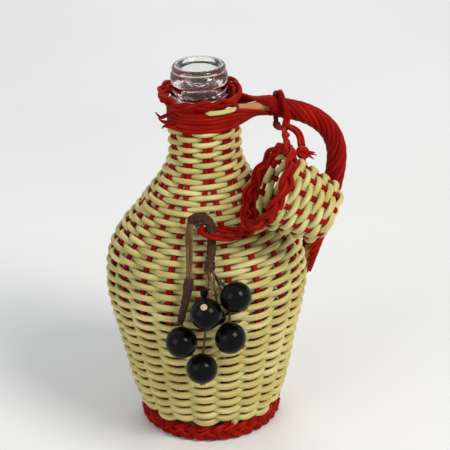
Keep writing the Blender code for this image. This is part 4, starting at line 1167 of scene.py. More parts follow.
@dataclass
class GlassBottle:
    """The bottle: body, neck, and a mouth with a bead, a locking ring and a lip."""

    shape: Shape
    finishes: Finishes
    lip_radius: float = 0.01295
    ring_radius: float = 0.0140
    ring_drop: float = 0.0062
    ring_half: float = 0.0030
    collar_radius: float = 0.0134
    bead_radius: float = 0.0143
    bead_drop: float = 0.0142
    bead_half: float = 0.0018
    collar_inset: float = 0.0003
    lip_inset: float = 0.0002
    lip_half: float = 0.0016
    lip_edge: float = 0.0014
    sole_edge: float = 0.0040
    floor_edge: float = 0.0006
    neck_edge: float = 0.0010
    mouth_steps: Shares = ((0.0018, 0.00002), (0.0008, 0.0004), (0.0002, 0.0014), (0.0, 0.0030), (0.0, 0.012))
    side_step: int = 6
    segments: int = 96

    def bulge(self, middle: float, half: float, radii: tuple[float, ...], degrees: tuple[int, ...]) -> Line:
        """Gives the section of a ring that stands out round the mouth.

        Args:
            middle: its middle height.
            half: half its height.
            radii: the radius of the glass below it, of the ring, and of the glass above it.
            degrees: the steps of its curve, from the lowest up.

        Returns:
            The corners.
        """
        below, radius, above = radii
        corners = []
        for turn in np.radians(degrees):
            base = below if turn < 0 else above
            reach = radius - base
            corners.append((base + reach * math.cos(turn), middle + half * math.sin(turn)))
        return corners

    def outside(self) -> Line:
        """Gives the outer side of the glass.

        Returns:
            Radius and height of the corners, from the middle of the sole to the mouth.
        """
        s = self.shape
        bead, ring = s.height - self.bead_drop, s.height - self.ring_drop
        corner = ((s.foot_radius + 2 * s.heel_radius) / 3, (s.sole_height + s.heel_height) / 2)
        corners = [(0.0, s.sole_height), (s.foot_radius - self.sole_edge, s.sole_height)]
        corners += [(s.foot_radius, s.sole_height), corner]
        top = s.neck_height - self.neck_edge
        corners += [tuple(place) for place in s.side[:: self.side_step] if place[1] < top]
        corners.append((s.neck_radius, s.neck_height))
        corners.append((s.neck_radius, bead - 1.9 * self.bead_half))
        collar, lip = self.collar_radius - self.collar_inset, self.lip_radius - self.lip_inset
        radii = (s.neck_radius, self.bead_radius, collar)
        corners += self.bulge(bead, self.bead_half, radii, (-80, -55, -30, 0, 30, 55))
        radii = (collar, self.ring_radius, lip)
        corners += self.bulge(ring, self.ring_half, radii, (-75, -50, -25, 0, 25, 50, 75))
        middle = s.height - self.lip_half
        for turn in np.radians((-50, -20, 10, 40, 65, 90)):
            radius = self.lip_radius - self.lip_edge + self.lip_half * math.cos(turn)
            corners.append((radius, middle + self.lip_half * math.sin(turn)))
        return corners

    def inside(self) -> Line:
        """Gives the inner side of the glass.

        Returns:
            Radius and height of the corners, from the mouth to the middle of the floor.
        """
        s = self.shape
        bore, floor = s.bore_radius, s.sole_height + s.floor
        corners = [(bore + out, s.height - drop) for out, drop in self.mouth_steps]
        corners.append((bore, s.neck_height))
        hollow = (s.side - s.out * s.wall)[:: self.side_step]
        wide, low = bore + self.floor_edge, floor + s.wall
        inner = [tuple(place) for place in hollow if place[0] > wide and place[1] > low]
        corners += list(reversed(inner))
        corners.append((s.foot_radius, floor + self.floor_edge))
        return [*corners, (s.foot_radius - self.sole_edge, floor), (0.0, floor)]

    def build(self) -> None:
        """Builds and dresses the bottle."""
        mesh = dressed(turned(self.outside() + self.inside(), self.segments), self.finishes.glass)
        put("glass", mesh, Body.BOTTLE, ["glass_bottle"])


@dataclass
class WovenJacket:
    """Cream weavers over red stakes, and the woven disc under the glass."""

    shape: Shape
    finishes: Finishes
    weave: GeometryTree
    strand: GeometryTree
    depth: float = 0.00307
    neck_depth: float = 0.00252
    wave_height: float = 0.0019
    neck_wave_height: float = 0.00135
    width_shares: Shares = (
        (0.008, 0.00192), (0.045, 0.00182), (0.080, 0.00164),
        (0.105, 0.00146), (0.135, 0.00140), (0.175, 0.00134),
    )
    flatness: float = 0.72
    course: float = 0.0027
    pair_switch: float = 0.1190
    pair_span: float = 0.003
    top_places: tuple[Place, ...] = (
        (0.0000, -0.0182, 0.1728), (0.0036, -0.0187, 0.1727), (0.0083, -0.0181, 0.1726),
        (0.0124, -0.0164, 0.1726), (0.0151, -0.0141, 0.1725),
    )
    top_half: float = 0.0012
    top_tilt: float = 0.012
    top_count: int = 60
    stake_half: float = 0.00170
    stake_neck_half: float = 0.00138
    stake_low: float = 0.0075
    stake_ends: tuple[float, float] = (0.166, 0.1712)
    base_height: float = 0.0031
    base_inner: float = 0.0045
    base_outer: float = 0.0300
    base_count: int = 40
    base_wave: float = 0.0014
    base_half: float = 0.00150
    bars: int = 5
    bar_reach: float = 0.0305
    bar_apart: float = 0.0013
    bar_half: float = 0.0012
    bar_step: float = 0.00035
    bar_bend: float = 0.006

    def middle_line(self) -> np.ndarray:
        """Gives the line midway between the front and the back of the weave."""
        share = self.shape.upper(self.shape.side[:, 1])
        return self.shape.offset(self.depth + (self.neck_depth - self.depth) * share)

    def build_weavers(self) -> None:
        """Builds the two weavers, which chase each other from the foot to the neck."""
        line = self.middle_line()
        height = line[:, 1]
        paired = smooth_step((height - self.pair_switch + self.pair_span / 2) / self.pair_span)
        wave = self.wave_height + (self.neck_wave_height - self.wave_height) * self.shape.upper(height)
        half = np.interp(height, *np.array(self.width_shares).T)
        marks = np.stack([wave, half, self.shape.lean(height)], axis=1)
        length = float(run_of(line)[-1])
        values = {
            "Turns": length / (2 * self.course),
            "Low Stake Turn": self.shape.stake_turn,
            "High Stake Turn": self.shape.pair_turn,
            "Start Turn": math.radians(100.0),
            "Unevenness": 0.00022,
            "Flatness": self.flatness,
            "Seed": 3.0,
            "Material": self.finishes.cream,
        }
        mesh = self.weave.shape("jacket_weave", shell_guide(line, marks, paired), values)
        top = smooth_route(self.top_places, self.top_count)
        out = top * [1.0, 1.0, 0.0] + [0.0, 0.0, self.top_tilt]
        guide = guide_mesh([Strand(top, tapered(self.top_count, self.top_half, start=0.3, end=0.6), out)])
        form = StrandForm(seed=4.0, flatness=self.flatness)
        last = self.strand.shape("last_weaver", guide, form.inputs(self.finishes.cream))
        put("jacket_weave", joined([mesh, last]), Body.BOTTLE, ["body_weave", "neck_weave"])

    def build_stakes(self) -> None:
        """Builds the red stakes, single on the body and in pairs at the neck."""
        line = self.middle_line()
        heights = np.concatenate([np.linspace(self.stake_low, self.shape.jacket_top, 90), self.stake_ends])
        radii = np.interp(heights, line[:, 1], line[:, 0])
        strands = []
        for index in range(self.shape.stake_count):
            angles = np.array([self.shape.stake_angle(index, height) for height in heights])
            middle = self.shape.lean(heights)
            points = np.stack([middle + radii * np.cos(angles), radii * np.sin(angles), heights], axis=1)
            out = np.stack([np.cos(angles), np.sin(angles), 0 * angles], axis=1)
            thinning = self.stake_neck_half - self.stake_half
            half = self.stake_half + thinning * self.shape.upper(heights)
            strands.append(Strand(points, half, out))
        form = StrandForm(seed=1.0, flatness=0.55, wobble=0.0001)
        mesh = self.strand.shape("stakes", guide_mesh(strands), form.inputs(self.finishes.red))
        nodes = [f"stake_{index + 1:02d}" for index in range(self.shape.stake_count)]
        put("stakes", mesh, Body.BOTTLE, nodes)

    def build_base(self) -> None:
        """Builds the woven disc under the glass."""
        radii = np.linspace(self.base_inner, self.base_outer, self.base_count)
        line = np.stack([radii[::-1], np.full(self.base_count, self.base_height)], axis=1)
        marks = np.tile([self.base_wave, self.base_half, 0.0], (self.base_count, 1))
        values = {
            "Turns": (self.base_outer - self.base_inner) / (2 * self.course),
            "Points Per Turn": 80,
            "Low Waves": 5.0,
            "Low Stake Turn": self.shape.pair_turn,
            "Unevenness": 0.00015,
            "Flatness": self.flatness,
            "Seed": 8.0,
            "Material": self.finishes.cream,
        }
        weavers = self.weave.shape("base_weave_disc", shell_guide(line, marks), values)
        strands = []
        for index in range(self.bars):
            turn = self.shape.pair_turn + math.pi * index / self.bars
            for side in (-self.bar_apart, self.bar_apart):
                reach = np.linspace(-self.bar_reach, self.bar_reach, 24)
                x = reach * math.cos(turn) - side * math.sin(turn)
                y = reach * math.sin(turn) + side * math.cos(turn)
                rise = self.bar_step * (index - self.bars // 2)
                z = self.base_height + rise * np.exp(-((reach / self.bar_bend) ** 2))
                strands.append(Strand(np.stack([x, y, z], axis=1), self.bar_half, (0.0, 0.0, 1.0)))
        form = StrandForm(seed=2.0, sides=8, flatness=0.6)
        bars = self.strand.shape("base_bars", guide_mesh(strands), form.inputs(self.finishes.red))
        put("base_disc", joined([weavers, bars]), Body.BOTTLE, ["base_weave"])

    def build(self) -> None:
        """Builds and dresses the jacket."""
        self.build_weavers()
        self.build_stakes()
        self.build_base()


@dataclass
class Plait:
    """Three plies laid in a flat plait along a line, each of two strands side by side.

    The plies swing to each side by wide and up and down by deep, with half as half a strand's width.
    """

    repeats: float
    wide: float
    deep: float
    half: float
    apart: float
    jitter: float
    seed: int
    lean: float = 0.35
    changes: int = 12

    def strands(self, centre: np.ndarray, across: np.ndarray, out: np.ndarray) -> list[Strand]:
        """Lays the plait along a closed line.

        Args:
            centre: the plait's middle line.
            across: the direction of its width at each point.
            out: the direction that it faces at each point.

        Returns:
            The strands.
        """
        draw = np.random.default_rng(self.seed)
        place = np.arange(len(centre)) / len(centre)
        strands = []
        knots = np.linspace(0.0, 1.0, self.changes + 1)
        for ply in range(3):
            uneven, slip = draw.uniform(-1, 1, self.changes), draw.uniform(-1, 1, self.changes)
            uneven = np.interp(place, knots, [*uneven, uneven[0]]) * self.jitter
            slip = np.interp(place, knots, [*slip, slip[0]]) * self.jitter * 0.9
            turn = 2 * math.pi * (self.repeats * place + ply / 3) + slip
            swing = self.wide * (1.0 + uneven) * np.sin(turn)
            dip = self.deep * (1.0 + uneven) * np.sin(2 * turn)
            line = centre + across * swing[:, None] + out * dip[:, None]
            face = out + across * self.lean * np.cos(turn)[:, None]
            face /= np.linalg.norm(face, axis=1)[:, None]
            step = np.roll(line, -1, axis=0) - np.roll(line, 1, axis=0)
            side = np.cross(face, step)
            side /= np.linalg.norm(side, axis=1)[:, None]
            for sign in (-1.0, 1.0):
                points = line + side * (self.apart * sign)
                width = self.half * (1.0 + 0.1 * sign * np.sin(turn + ply))
                strands.append(Strand(points, width, face + side * 0.3 * sign, True))
        return strands


def raised(turn: np.ndarray, base: float, bumps: tuple[Bump, ...]) -> Numbers:
    """Adds soft bumps to a size that runs round Z.

    Args:
        turn: the directions that it is read at.
        base: the size without bumps.
        bumps: the height, direction in degrees and reach of each bump.

    Returns:
        The size in each direction.
    """
    size: Numbers = base
    for height, degrees, reach in bumps:
        gap = np.abs((turn - math.radians(degrees) + math.pi) % (2 * math.pi) - math.pi)
        size = size + height * np.exp(-((gap / reach) ** 2))
    return size


@dataclass
class Borders:
    """The plaited red borders round the foot and round the neck."""

    shape: Shape
    finishes: Finishes
    strand: GeometryTree
    foot_radius: float = 0.0344
    foot_middle: float = 0.00485
    rim_radius: float = 0.0176
    rim_middle: float = 0.1766
    rim_tilt: float = 0.55
    rim_out: tuple[Bump, ...] = ((0.0009, 176.0, 0.5), (0.0004, -20.0, 0.4))
    rim_up: tuple[Bump, ...] = ((0.0008, 20.0, 0.45), (0.0006, 170.0, 0.5))
    rim_down: tuple[Bump, ...] = ((0.0011, -95.0, 1.0), (0.0015, -30.0, 0.4), (0.0012, -145.0, 0.5))
    loose_routes: tuple[tuple[Place, ...], ...] = (
        (
            (-0.0130, -0.0105, 0.1700), (-0.0172, -0.0066, 0.1690),
            (-0.0200, -0.0048, 0.1676), (-0.0222, -0.0040, 0.1700),
        ),
        (
            (-0.0135, -0.0100, 0.1660), (-0.0174, -0.0060, 0.1652),
            (-0.0196, -0.0044, 0.1655), (-0.0212, -0.0036, 0.1668),
        ),
        (
            (-0.0128, -0.0108, 0.1640), (-0.0172, -0.0066, 0.1636),
            (-0.0187, -0.0050, 0.1630), (-0.0196, -0.0042, 0.1616),
        ),
    )
    loose_half: float = 0.0010
    loose_count: int = 30

    def build_foot(self) -> None:
        """Builds the foot border, a close plait of thick strands."""
        _, ring = flat_ring(360)
        centre = ring * self.foot_radius + np.array([0, 0, self.foot_middle])
        up = np.broadcast_to([0.0, 0.0, 1.0], ring.shape)
        plait = Plait(repeats=11, wide=0.0024, deep=0.0011, half=0.00112, apart=0.00098, jitter=0.10, seed=5)
        form = StrandForm(seed=4.0, sides=12, flatness=0.8, wobble=0.0002)
        guide = guide_mesh(plait.strands(centre, up, ring))
        mesh = self.strand.shape("foot", guide, form.inputs(self.finishes.red))
        put("foot_plait", mesh, Body.BOTTLE, ["foot_border"])

    def build_rim(self) -> None:
        """Builds the loose rim border, with a bulge away from the handle and a loop next to it."""
        turn, ring = flat_ring(420)
        centre = ring * raised(turn, self.rim_radius, self.rim_out)[:, None]
        centre[:, 2] = raised(turn, self.rim_middle, self.rim_up)
        centre[:, 2] -= raised(turn, 0.0, self.rim_down)
        up = np.array([0.0, 0.0, 1.0])
        across = (up + self.rim_tilt * ring) / math.hypot(1.0, self.rim_tilt)
        out = (ring - self.rim_tilt * up) / math.hypot(1.0, self.rim_tilt)
        plait = Plait(repeats=4, wide=0.0015, deep=0.0010, half=0.00108, apart=0.00100, jitter=0.38, seed=9)
        form = StrandForm(seed=6.0, sides=12, flatness=0.85, wobble=0.0005)
        guide = guide_mesh(plait.strands(centre, across, out) + self.loose_ends())
        mesh = self.strand.shape("rim", guide, form.inputs(self.finishes.red))
        put("rim_plait", mesh, Body.BOTTLE, ["rim_border"])

    def loose_ends(self) -> list[Strand]:
        """Gives the cut ends of cane that stand out on the side away from the handle.

        Returns:
            One strand for each route.
        """
        ends = []
        for route in self.loose_routes:
            points = smooth_route(route, self.loose_count)
            half = tapered(self.loose_count, self.loose_half, start=0.8, end=0.35, reach=0.4)
            ends.append(Strand(points, half, (0.3, -0.8, 0.5)))
        return ends

    def build(self) -> None:
        """Builds and dresses both borders."""
        self.build_foot()
        self.build_rim()


# The handle


@dataclass
class Handle:
    """A tan cane core wrapped in red strands, which start as a band round the neck."""

    shape: Shape
    finishes: Finishes
    strand: GeometryTree
    neck_height: float = 0.1698
    reach: float = 0.0678
    reach_height: float = 0.1410
    low_height: float = 0.0745
    seat: float = 0.0012
    core_radius: float = 0.0029
    core_drop: float = 0.0036
    strand_radius: float = 0.00095
    strand_half: float = 0.00122
    ring_radius: float = 0.00415
    neck_ring: float = 0.01755
    level_pitch: float = 0.00215
    levels: int = 5
    turns: float = 2.55
    first_turns: float = 0.32
    first_reach: float = 0.07
    wrap_start: float = 0.095
    clearance: float = 0.0003
    band_drop: float = 0.0006
    band_gap: float = math.radians(5.0)
    sink_start: float = 0.018
    sink_length: float = 0.019
    even_shift: float = math.radians(40.0)
    front_bundle: tuple[float, float, float] = (math.radians(148.0), math.radians(130.0), 0.66)
    back_bundle: tuple[float, float, float] = (math.radians(-22.0), math.radians(-50.0), 0.62)
    bundle_length: float = 0.10
    core_count: int = 241
    neck_steps: int = 36
    turn_steps: int = 170
    strand_count: int = 230
    top_shares: Shares = (
        (0.0, 0.0), (0.157, 0.049), (0.315, 0.097), (0.492, 0.181),
        (0.669, 0.285), (0.827, 0.458), (0.945, 0.701), (1.0, 1.0),
    )
    side_shares: Shares = (
        (0.011, 0.140), (0.100, 0.266), (0.251, 0.420), (0.475, 0.594),
        (0.687, 0.750), (0.883, 0.890), (1.0, 1.0),
    )

    def __post_init__(self) -> None:
        """Works out the core's middle line."""
        start = self.shape.jacket_lean + self.neck_ring - self.strand_radius + self.clearance
        end = float(self.shape.radius(self.low_height)) - self.seat
        places = []
        for out, drop in self.top_shares:
            z = self.neck_height - (self.neck_height - self.reach_height) * drop
            places.append((start + (self.reach - start) * out, 0.0, z))
        for back, drop in self.side_shares:
            z = self.reach_height - (self.reach_height - self.low_height) * drop
            places.append((self.reach - (self.reach - end) * back, 0.0, z))
        self.route = smooth_route(places, self.core_count)
        sunk = 1.0 - smooth_step((self.route[:, 0] - self.sink_start) / self.sink_length)
        sunk[self.route[:, 2] < self.reach_height] = 0.0
        self.core = self.route.copy()
        self.core[:, 2] -= self.core_drop * sunk

    def frame_at(self, share: float) -> tuple[Vector, Vector, Vector]:
        """Reads the middle line.

        Args:
            share: how far along it, from 0 to 1.

        Returns:
            The place, the upward side and the camera side.
        """
        index = share * (len(self.route) - 1)
        k = min(int(index), len(self.route) - 2)
        spot = self.route[k] + (self.route[k + 1] - self.route[k]) * (index - k)
        low, high = max(k - 2, 0), min(k + 3, len(self.route) - 1)
        along = Vector(self.route[high] - self.route[low]).normalized()
        side = Vector((0.0, -1.0, 0.0))
        return Vector(spot), side.cross(along), side

    def first_turn(self, index: int, share: float) -> float:
        """Gives a strand's place round the core: two close bundles at first, an even spread further on.

        Args:
            index: which strand it is.
            share: how far along the handle, from 0 to 1.

        Returns:
            The direction round the core.
        """
        step = math.pi / self.levels
        front = index < self.levels
        even = step * (index + 0.5) if front else -step * (index - self.levels + 0.5)
        even += self.even_shift
        middle, even_middle, squeeze = self.front_bundle if front else self.back_bundle
        close = middle + (even - even_middle) * squeeze
        return close + (even - close) * float(smooth_step(share / self.bundle_length))

    def strand_line(self, index: int) -> Strand:
        """Gives one strand: round half the neck, out to the handle, and round its core.

        Args:
            index: which strand it is.

        Returns:
            The strand.
        """
        level = index % self.levels
        front = index < self.levels
        height = self.shape.rim_bottom - self.clearance - self.strand_radius - self.band_drop
        height -= level * self.level_pitch
        helix, faces = [], []
        for k in range(self.turn_steps + 1):
            reach = k / self.turn_steps
            share = self.wrap_start + (1.0 - self.wrap_start) * reach
            fast = self.first_turns * (1.0 - math.exp(-reach / self.first_reach))
            turn = self.first_turn(index, reach) + 2 * math.pi * (self.turns * reach + fast)
            spot, up, side = self.frame_at(share)
            out = up * math.cos(turn) + side * math.sin(turn)
            point = spot + self.ring_radius * out
            if k > self.turn_steps // 2 and self.shape.gap(point) < 0.0001:
                break
            helix.append(point)
            faces.append(out)
        middle = self.shape.jacket_lean
        distance = math.hypot(helix[0].x - middle, helix[0].y)
        sign = -1.0 if front else 1.0
        leave = math.atan2(helix[0].y, helix[0].x - middle) + sign * math.acos(self.neck_ring / distance)
        first = sign * (math.pi - self.band_gap)
        neck, neck_faces = [], []
        for k in range(self.neck_steps):
            angle = first + (leave - first) * k / (self.neck_steps - 1)
            out = Vector((math.cos(angle), math.sin(angle), 0.0))
            neck.append(Vector((middle, 0.0, height)) + self.neck_ring * out)
            neck_faces.append(out)
        joint = [neck[-1].lerp(helix[0], 0.5)]
        route = neck[::5] + joint + helix[3::3]
        facing = [*neck_faces[::5], neck_faces[-1].lerp(faces[0], 0.5), *faces[3::3]]
        facing = np.array([tuple(face) for face in facing])
        coarse = run_of(np.array([tuple(point) for point in route]))
        points = smooth_route(route, self.strand_count)
        places = run_of(points) / run_of(points)[-1] * coarse[-1]
        out = np.stack([np.interp(places, coarse, facing[:, axis]) for axis in range(3)], axis=1)
        return Strand(points, tapered(len(points), self.strand_half, start=0.8, end=0.5, reach=0.03), out)

    def build(self) -> None:
        """Builds and dresses the core and the strands."""
        last = self.core_count - 1
        out = np.array([tuple(self.frame_at(k / last)[1]) for k in range(self.core_count)])
        core = Strand(self.core, self.core_radius, out)
        form = StrandForm(seed=1.0, sides=16)
        mesh = self.strand.shape("core", guide_mesh([core]), form.inputs(self.finishes.tan))
        put("handle_core_cane", mesh, Body.BOTTLE, ["handle_core"])
        strands = [self.strand_line(index) for index in range(2 * self.levels)]
        form = StrandForm(seed=3.0, sides=12, flatness=0.76, wobble=0.00012)
        mesh = self.strand.shape("wrap", guide_mesh(strands), form.inputs(self.finishes.red))
        nodes = [f"handle_strand_{index + 1:02d}" for index in range(2 * self.levels)]
        put("handle_wrap", mesh, Body.BOTTLE, nodes)


# The cup


@dataclass
class HangingCup:
    """A small wicker cup that hangs from the handle, with its tie, knot and loop for the berries."""

    finishes: Finishes
    weave: GeometryTree
    strand: GeometryTree
    length: float = 0.0320
    mouth_radius: float = 0.0203
    end_radius: float = 0.0165
    rim_radius: float = 0.0197
    rim_lift: float = 0.0002
    rim_tilt: tuple[float, float] = (0.62, 0.78)
    mouth: Place = (0.02674, -0.03890, 0.1406)
    yaw: float = math.radians(-1.5)
    tilt: float = math.radians(-31.0)
    stakes: int = 12
    course: float = 0.0034
    wall_start: float = 0.0012
    wall_end: float = 0.0034
    wall_depth: float = 0.0026
    corner: float = 0.0018
    centre_radius: float = 0.0028
    end_count: int = 22
    wave: float = 0.00125
    weaver_half: float = 0.00165
    stake_half: float = 0.00148
    knot_back: float = 0.0076
    knot_lift: float = 0.0022
    knot_turn: float = math.radians(-19.0)
    knot_half: float = 0.00125
    knot_rings: Shares = ((0.2, 0.0014), (1.3, 0.0019), (2.4, 0.0012), (0.8, 0.0022))
    knot_tips: tuple[Place, ...] = (
        (0.0060, -0.0012, -0.0002), (0.0068, 0.0002, -0.0022),
        (0.0050, -0.0024, -0.0030), (0.0004, -0.0030, -0.0052),
    )
    tip_half: float = 0.0007
    tip_count: int = 16
    tie_half: float = 0.00116
    tie_apart: float = 0.00100
    tie_places: tuple[Place, ...] = (
        (0.0363, -0.0318, 0.1563), (0.0366, -0.0308, 0.1596), (0.0373, -0.0250, 0.1606),
        (0.0384, -0.0170, 0.1598), (0.0400, -0.0105, 0.1591), (0.0412, -0.0074, 0.1614),
        (0.0413, -0.0072, 0.1655), (0.0404, -0.0062, 0.1696), (0.0397, -0.0020, 0.1726),
        (0.0392, 0.0043, 0.1716), (0.0389, 0.0074, 0.1660), (0.0385, 0.0064, 0.1610),
        (0.0380, 0.0035, 0.1578), (0.0376, 0.0000, 0.1568), (0.0384, -0.0055, 0.1574),
        (0.0398, -0.0135, 0.1606), (0.0418, -0.0172, 0.1611), (0.0438, -0.0212, 0.1602),
        (0.0445, -0.0250, 0.1584),
    )
    loop_height: float = 0.1160
    loop_leg: float = math.radians(-95.2)
    loop_half: float = 0.00108
    loop_apart: float = 0.00090
    loop_places: tuple[Place, ...] = (
        (0.0139, -0.0398, 0.1236), (0.0121, -0.0415, 0.1214), (0.0108, -0.0421, 0.1186),
        (0.0071, -0.0432, 0.1178), (0.0031, -0.0442, 0.1190), (-0.0010, -0.0452, 0.1203),
        (-0.0048, -0.0440, 0.1207), (-0.0070, -0.0413, 0.1212), (-0.0074, -0.0378, 0.1208),
        (-0.0049, -0.0357, 0.1201), (-0.0010, -0.0358, 0.1200), (0.0046, -0.0367, 0.1195),
        (0.0098, -0.0376, 0.1188), (0.0130, -0.0389, 0.1183), (0.0162, -0.0401, 0.1185),
    )

    def __post_init__(self) -> None:
        """Works out the cup's place."""
        turn = Matrix.Rotation(self.yaw, 4, "Z") @ Matrix.Rotation(math.pi / 2 - self.tilt, 4, "Y")
        self.place = Matrix.Translation(Vector(self.mouth)) @ turn

    def spot(self, turn: float, radius: float, along: float) -> Vector:
        """Gives a place on the cup.

        Args:
            turn: the direction round its axis, from its topmost side towards the camera.
            radius: the distance from the axis.
            along: the distance from the mouth along the axis.

        Returns:
            The place.
        """
        axis = self.place.to_3x3() @ UP
        top = (UP - axis * axis.z).normalized()
        side = axis.cross(top)
        return self.place.translation + axis * along + radius * (top * math.cos(turn) + side * math.sin(turn))

    def wall_radius(self, along: Numbers) -> Numbers:
        """Gives the cup's outer radius at a distance from its mouth."""
        return self.mouth_radius + (self.end_radius - self.mouth_radius) * along / self.length

    def build_wall(self) -> None:
        """Builds the woven wall with its closed end, and its stakes."""
        along = np.linspace(self.wall_start, self.length - self.wall_end, 30)
        radii = self.wall_radius(along) - self.wall_depth
        turn = np.linspace(0.0, math.pi / 2, 8)[1:]
        radii = np.concatenate([radii, radii[-1] - self.corner * (1 - np.cos(turn))])
        along = np.concatenate([along, along[-1] + self.corner * np.sin(turn)])
        radii = np.concatenate([radii, np.linspace(radii[-1], self.centre_radius, self.end_count)[1:]])
        along = np.concatenate([along, np.full(self.end_count - 1, along[-1])])
        line = np.stack([radii, along], axis=1)[::-1]
        marks = np.tile([self.wave, self.weaver_half, 0.0], (len(line), 1))
        values = {
            "Turns": float(run_of(line)[-1]) / (2 * self.course),
            "Points Per Turn": 84,
            "Low Waves": self.stakes / 2.0,
            "Unevenness": 0.00025,
            "Flatness": 0.72,
            "Seed": 12.0,
            "Material": self.finishes.cream,
        }
        weavers = self.weave.shape("cup_weavers", shell_guide(line, marks), values)
        strands = []
        radii, along = line[::-1].T
        step = np.gradient(line[::-1], axis=0)
        step /= np.linalg.norm(step, axis=1)[:, None]
        for index in range(self.stakes):
            angle = 2 * math.pi * index / self.stakes
            points = np.stack([radii * math.cos(angle), radii * math.sin(angle), along], axis=1)
            out = np.stack([step[:, 1] * math.cos(angle), step[:, 1] * math.sin(angle), -step[:, 0]], axis=1)
            strands.append(Strand(points, self.stake_half, out))
        form = StrandForm(seed=5.0, flatness=0.6, wobble=0.0001)
        ribs = self.strand.shape("cup_ribs", guide_mesh(strands), form.inputs(self.finishes.red))
        mesh = joined([weavers, ribs])
        mesh.transform(self.place)
        put("cup_wall", mesh, Body.CUP, ["cup_weave"])

    def build_rim(self) -> None:
        """Builds the cup's loose plaited rim."""
        _, ring = flat_ring(360)
        centre = ring * (self.rim_radius + self.rim_lift)
        down = np.array([0.0, 0.0, -1.0])
        level, steep = self.rim_tilt
        across = (level * ring + steep * down) / math.hypot(level, steep)
        out = (steep * ring - level * down) / math.hypot(level, steep)
        plait = Plait(repeats=4, wide=0.0024, deep=0.0013, half=0.00124, apart=0.00112, jitter=0.30, seed=14)
        form = StrandForm(seed=7.0, sides=12, flatness=0.85, wobble=0.0005)
        guide = guide_mesh(plait.strands(centre, across, out))
        mesh = self.strand.shape("cup_plait", guide, form.inputs(self.finishes.red))
        mesh.transform(self.place)
        put("cup_rim_plait", mesh, Body.CUP, ["cup_rim"])

    def knot_spot(self) -> Vector:
        """Gives the middle of the knot, which sits on the cup's wall behind the rim."""
        radius = float(self.wall_radius(self.knot_back)) + self.knot_lift
        return self.spot(self.knot_turn, radius, self.knot_back)

    def tie_points(self) -> np.ndarray:
        """Gives the tie's middle line: up from the rim, round the handle, and down to the knot."""
        end = self.knot_spot().lerp(Vector(self.tie_places[-1]), 0.5)
        return smooth_route([*self.tie_places, tuple(end)], 160)

    def twisted(self, line: np.ndarray, half: float, apart: float, twists: float) -> list[Strand]:
        """Gives two strands that lie side by side along a line and twist slowly.

        Args:
            line: the middle line.
            half: half a strand's width.
            apart: how far each strand lies from the middle.
            twists: how many turns the pair makes.

        Returns:
            The two strands.
        """
        step = np.gradient(line, axis=0)
        step /= np.linalg.norm(step, axis=1)[:, None]
        first = np.cross(step, [0.0, -1.0, 0.0])
        first /= np.linalg.norm(first, axis=1)[:, None]
        second = np.cross(step, first)
        turn = 2 * math.pi * twists * np.linspace(0, 1, len(line))
        out = first * np.cos(turn)[:, None] + second * np.sin(turn)[:, None]
        halves = tapered(len(line), half, start=0.9, end=0.9, reach=0.04)
        return [Strand(line + out * apart, halves, out), Strand(line - out * apart, halves, -out)]

    def build_tie(self) -> None:
        """Builds the doubled tie and its knot."""
        strands = self.twisted(self.tie_points(), self.tie_half, self.tie_apart, 2.0)
        form = StrandForm(seed=9.0, sides=12, flatness=0.9, wobble=0.0004)
        mesh = self.strand.shape("tie", guide_mesh(strands), form.inputs(self.finishes.red))
        put("tie_strands", mesh, Body.CUP, ["cup_tie"])
        knot = self.knot_spot()
        turn, _ = flat_ring(90)
        loops = []
        for number, (lean, size) in enumerate(self.knot_rings):
            first = Vector((math.cos(lean), 0.35 * number - 0.3, math.sin(lean))).normalized()
            second = first.cross(Vector((0.3, -1.0, 0.25 * number))).normalized()
            ring = [tuple(knot + size * (first * math.cos(a) + second * math.sin(a))) for a in turn]
            loops.append(Strand(np.array(ring), self.knot_half, tuple(first.cross(second)), True))
        for tip in self.knot_tips:
            middle = knot + Vector(tip) * 0.6 + Vector((0, -0.0005, 0.0004))
            route = smooth_route([knot, middle, knot + Vector(tip)], self.tip_count)
            half = tapered(self.tip_count, self.tip_half, start=1.0, end=0.3, reach=0.5)
            loops.append(Strand(route, half))
        form = StrandForm(seed=10.0, sides=12, flatness=0.9, wobble=0.0003)
        mesh = self.strand.shape("knot", guide_mesh(loops), form.inputs(self.finishes.red))
        put("tie_knot", mesh, Body.CUP, ["cup_tie_knot"])

    def build_loop(self) -> None:
        """Builds the doubled loop from the cup's rim round the twig."""
        start, end = (self.spot(math.pi * turn, self.rim_radius, 0.0) for turn in (1.02, 0.88))
        route = smooth_route([start, *self.loop_places, end], 130)
        strands = self.twisted(route, self.loop_half, self.loop_apart, 2.0)
        form = StrandForm(seed=11.0, sides=12, flatness=0.9, wobble=0.0003)
        mesh = self.strand.shape("loop", guide_mesh(strands), form.inputs(self.finishes.red))
        put("berry_loop", mesh, Body.CUP, ["berry_tie"])

    def build(self) -> None:
        """Builds and dresses the cup and what holds it."""
        self.build_wall()
        self.build_rim()
        self.build_tie()
        self.build_loop()


# The berries

CALYX_FACES = (
    (0, 1, 3, 2), (2, 3, 4), (6, 5, 7, 8), (8, 7, 9), (1, 0, 5, 6),
    (0, 2, 7, 5), (3, 1, 6, 8), (2, 4, 9, 7), (4, 3, 8, 9),
)


def aimed(mesh: Mesh, middle: Vector, axis: Vector) -> Mesh:
    """Turns a mesh so that its own Z lies along an axis, and moves its origin to a middle."""
    mesh.transform(Matrix.Translation(middle) @ axis.to_track_quat("Z", "Y").to_matrix().to_4x4())
    return mesh


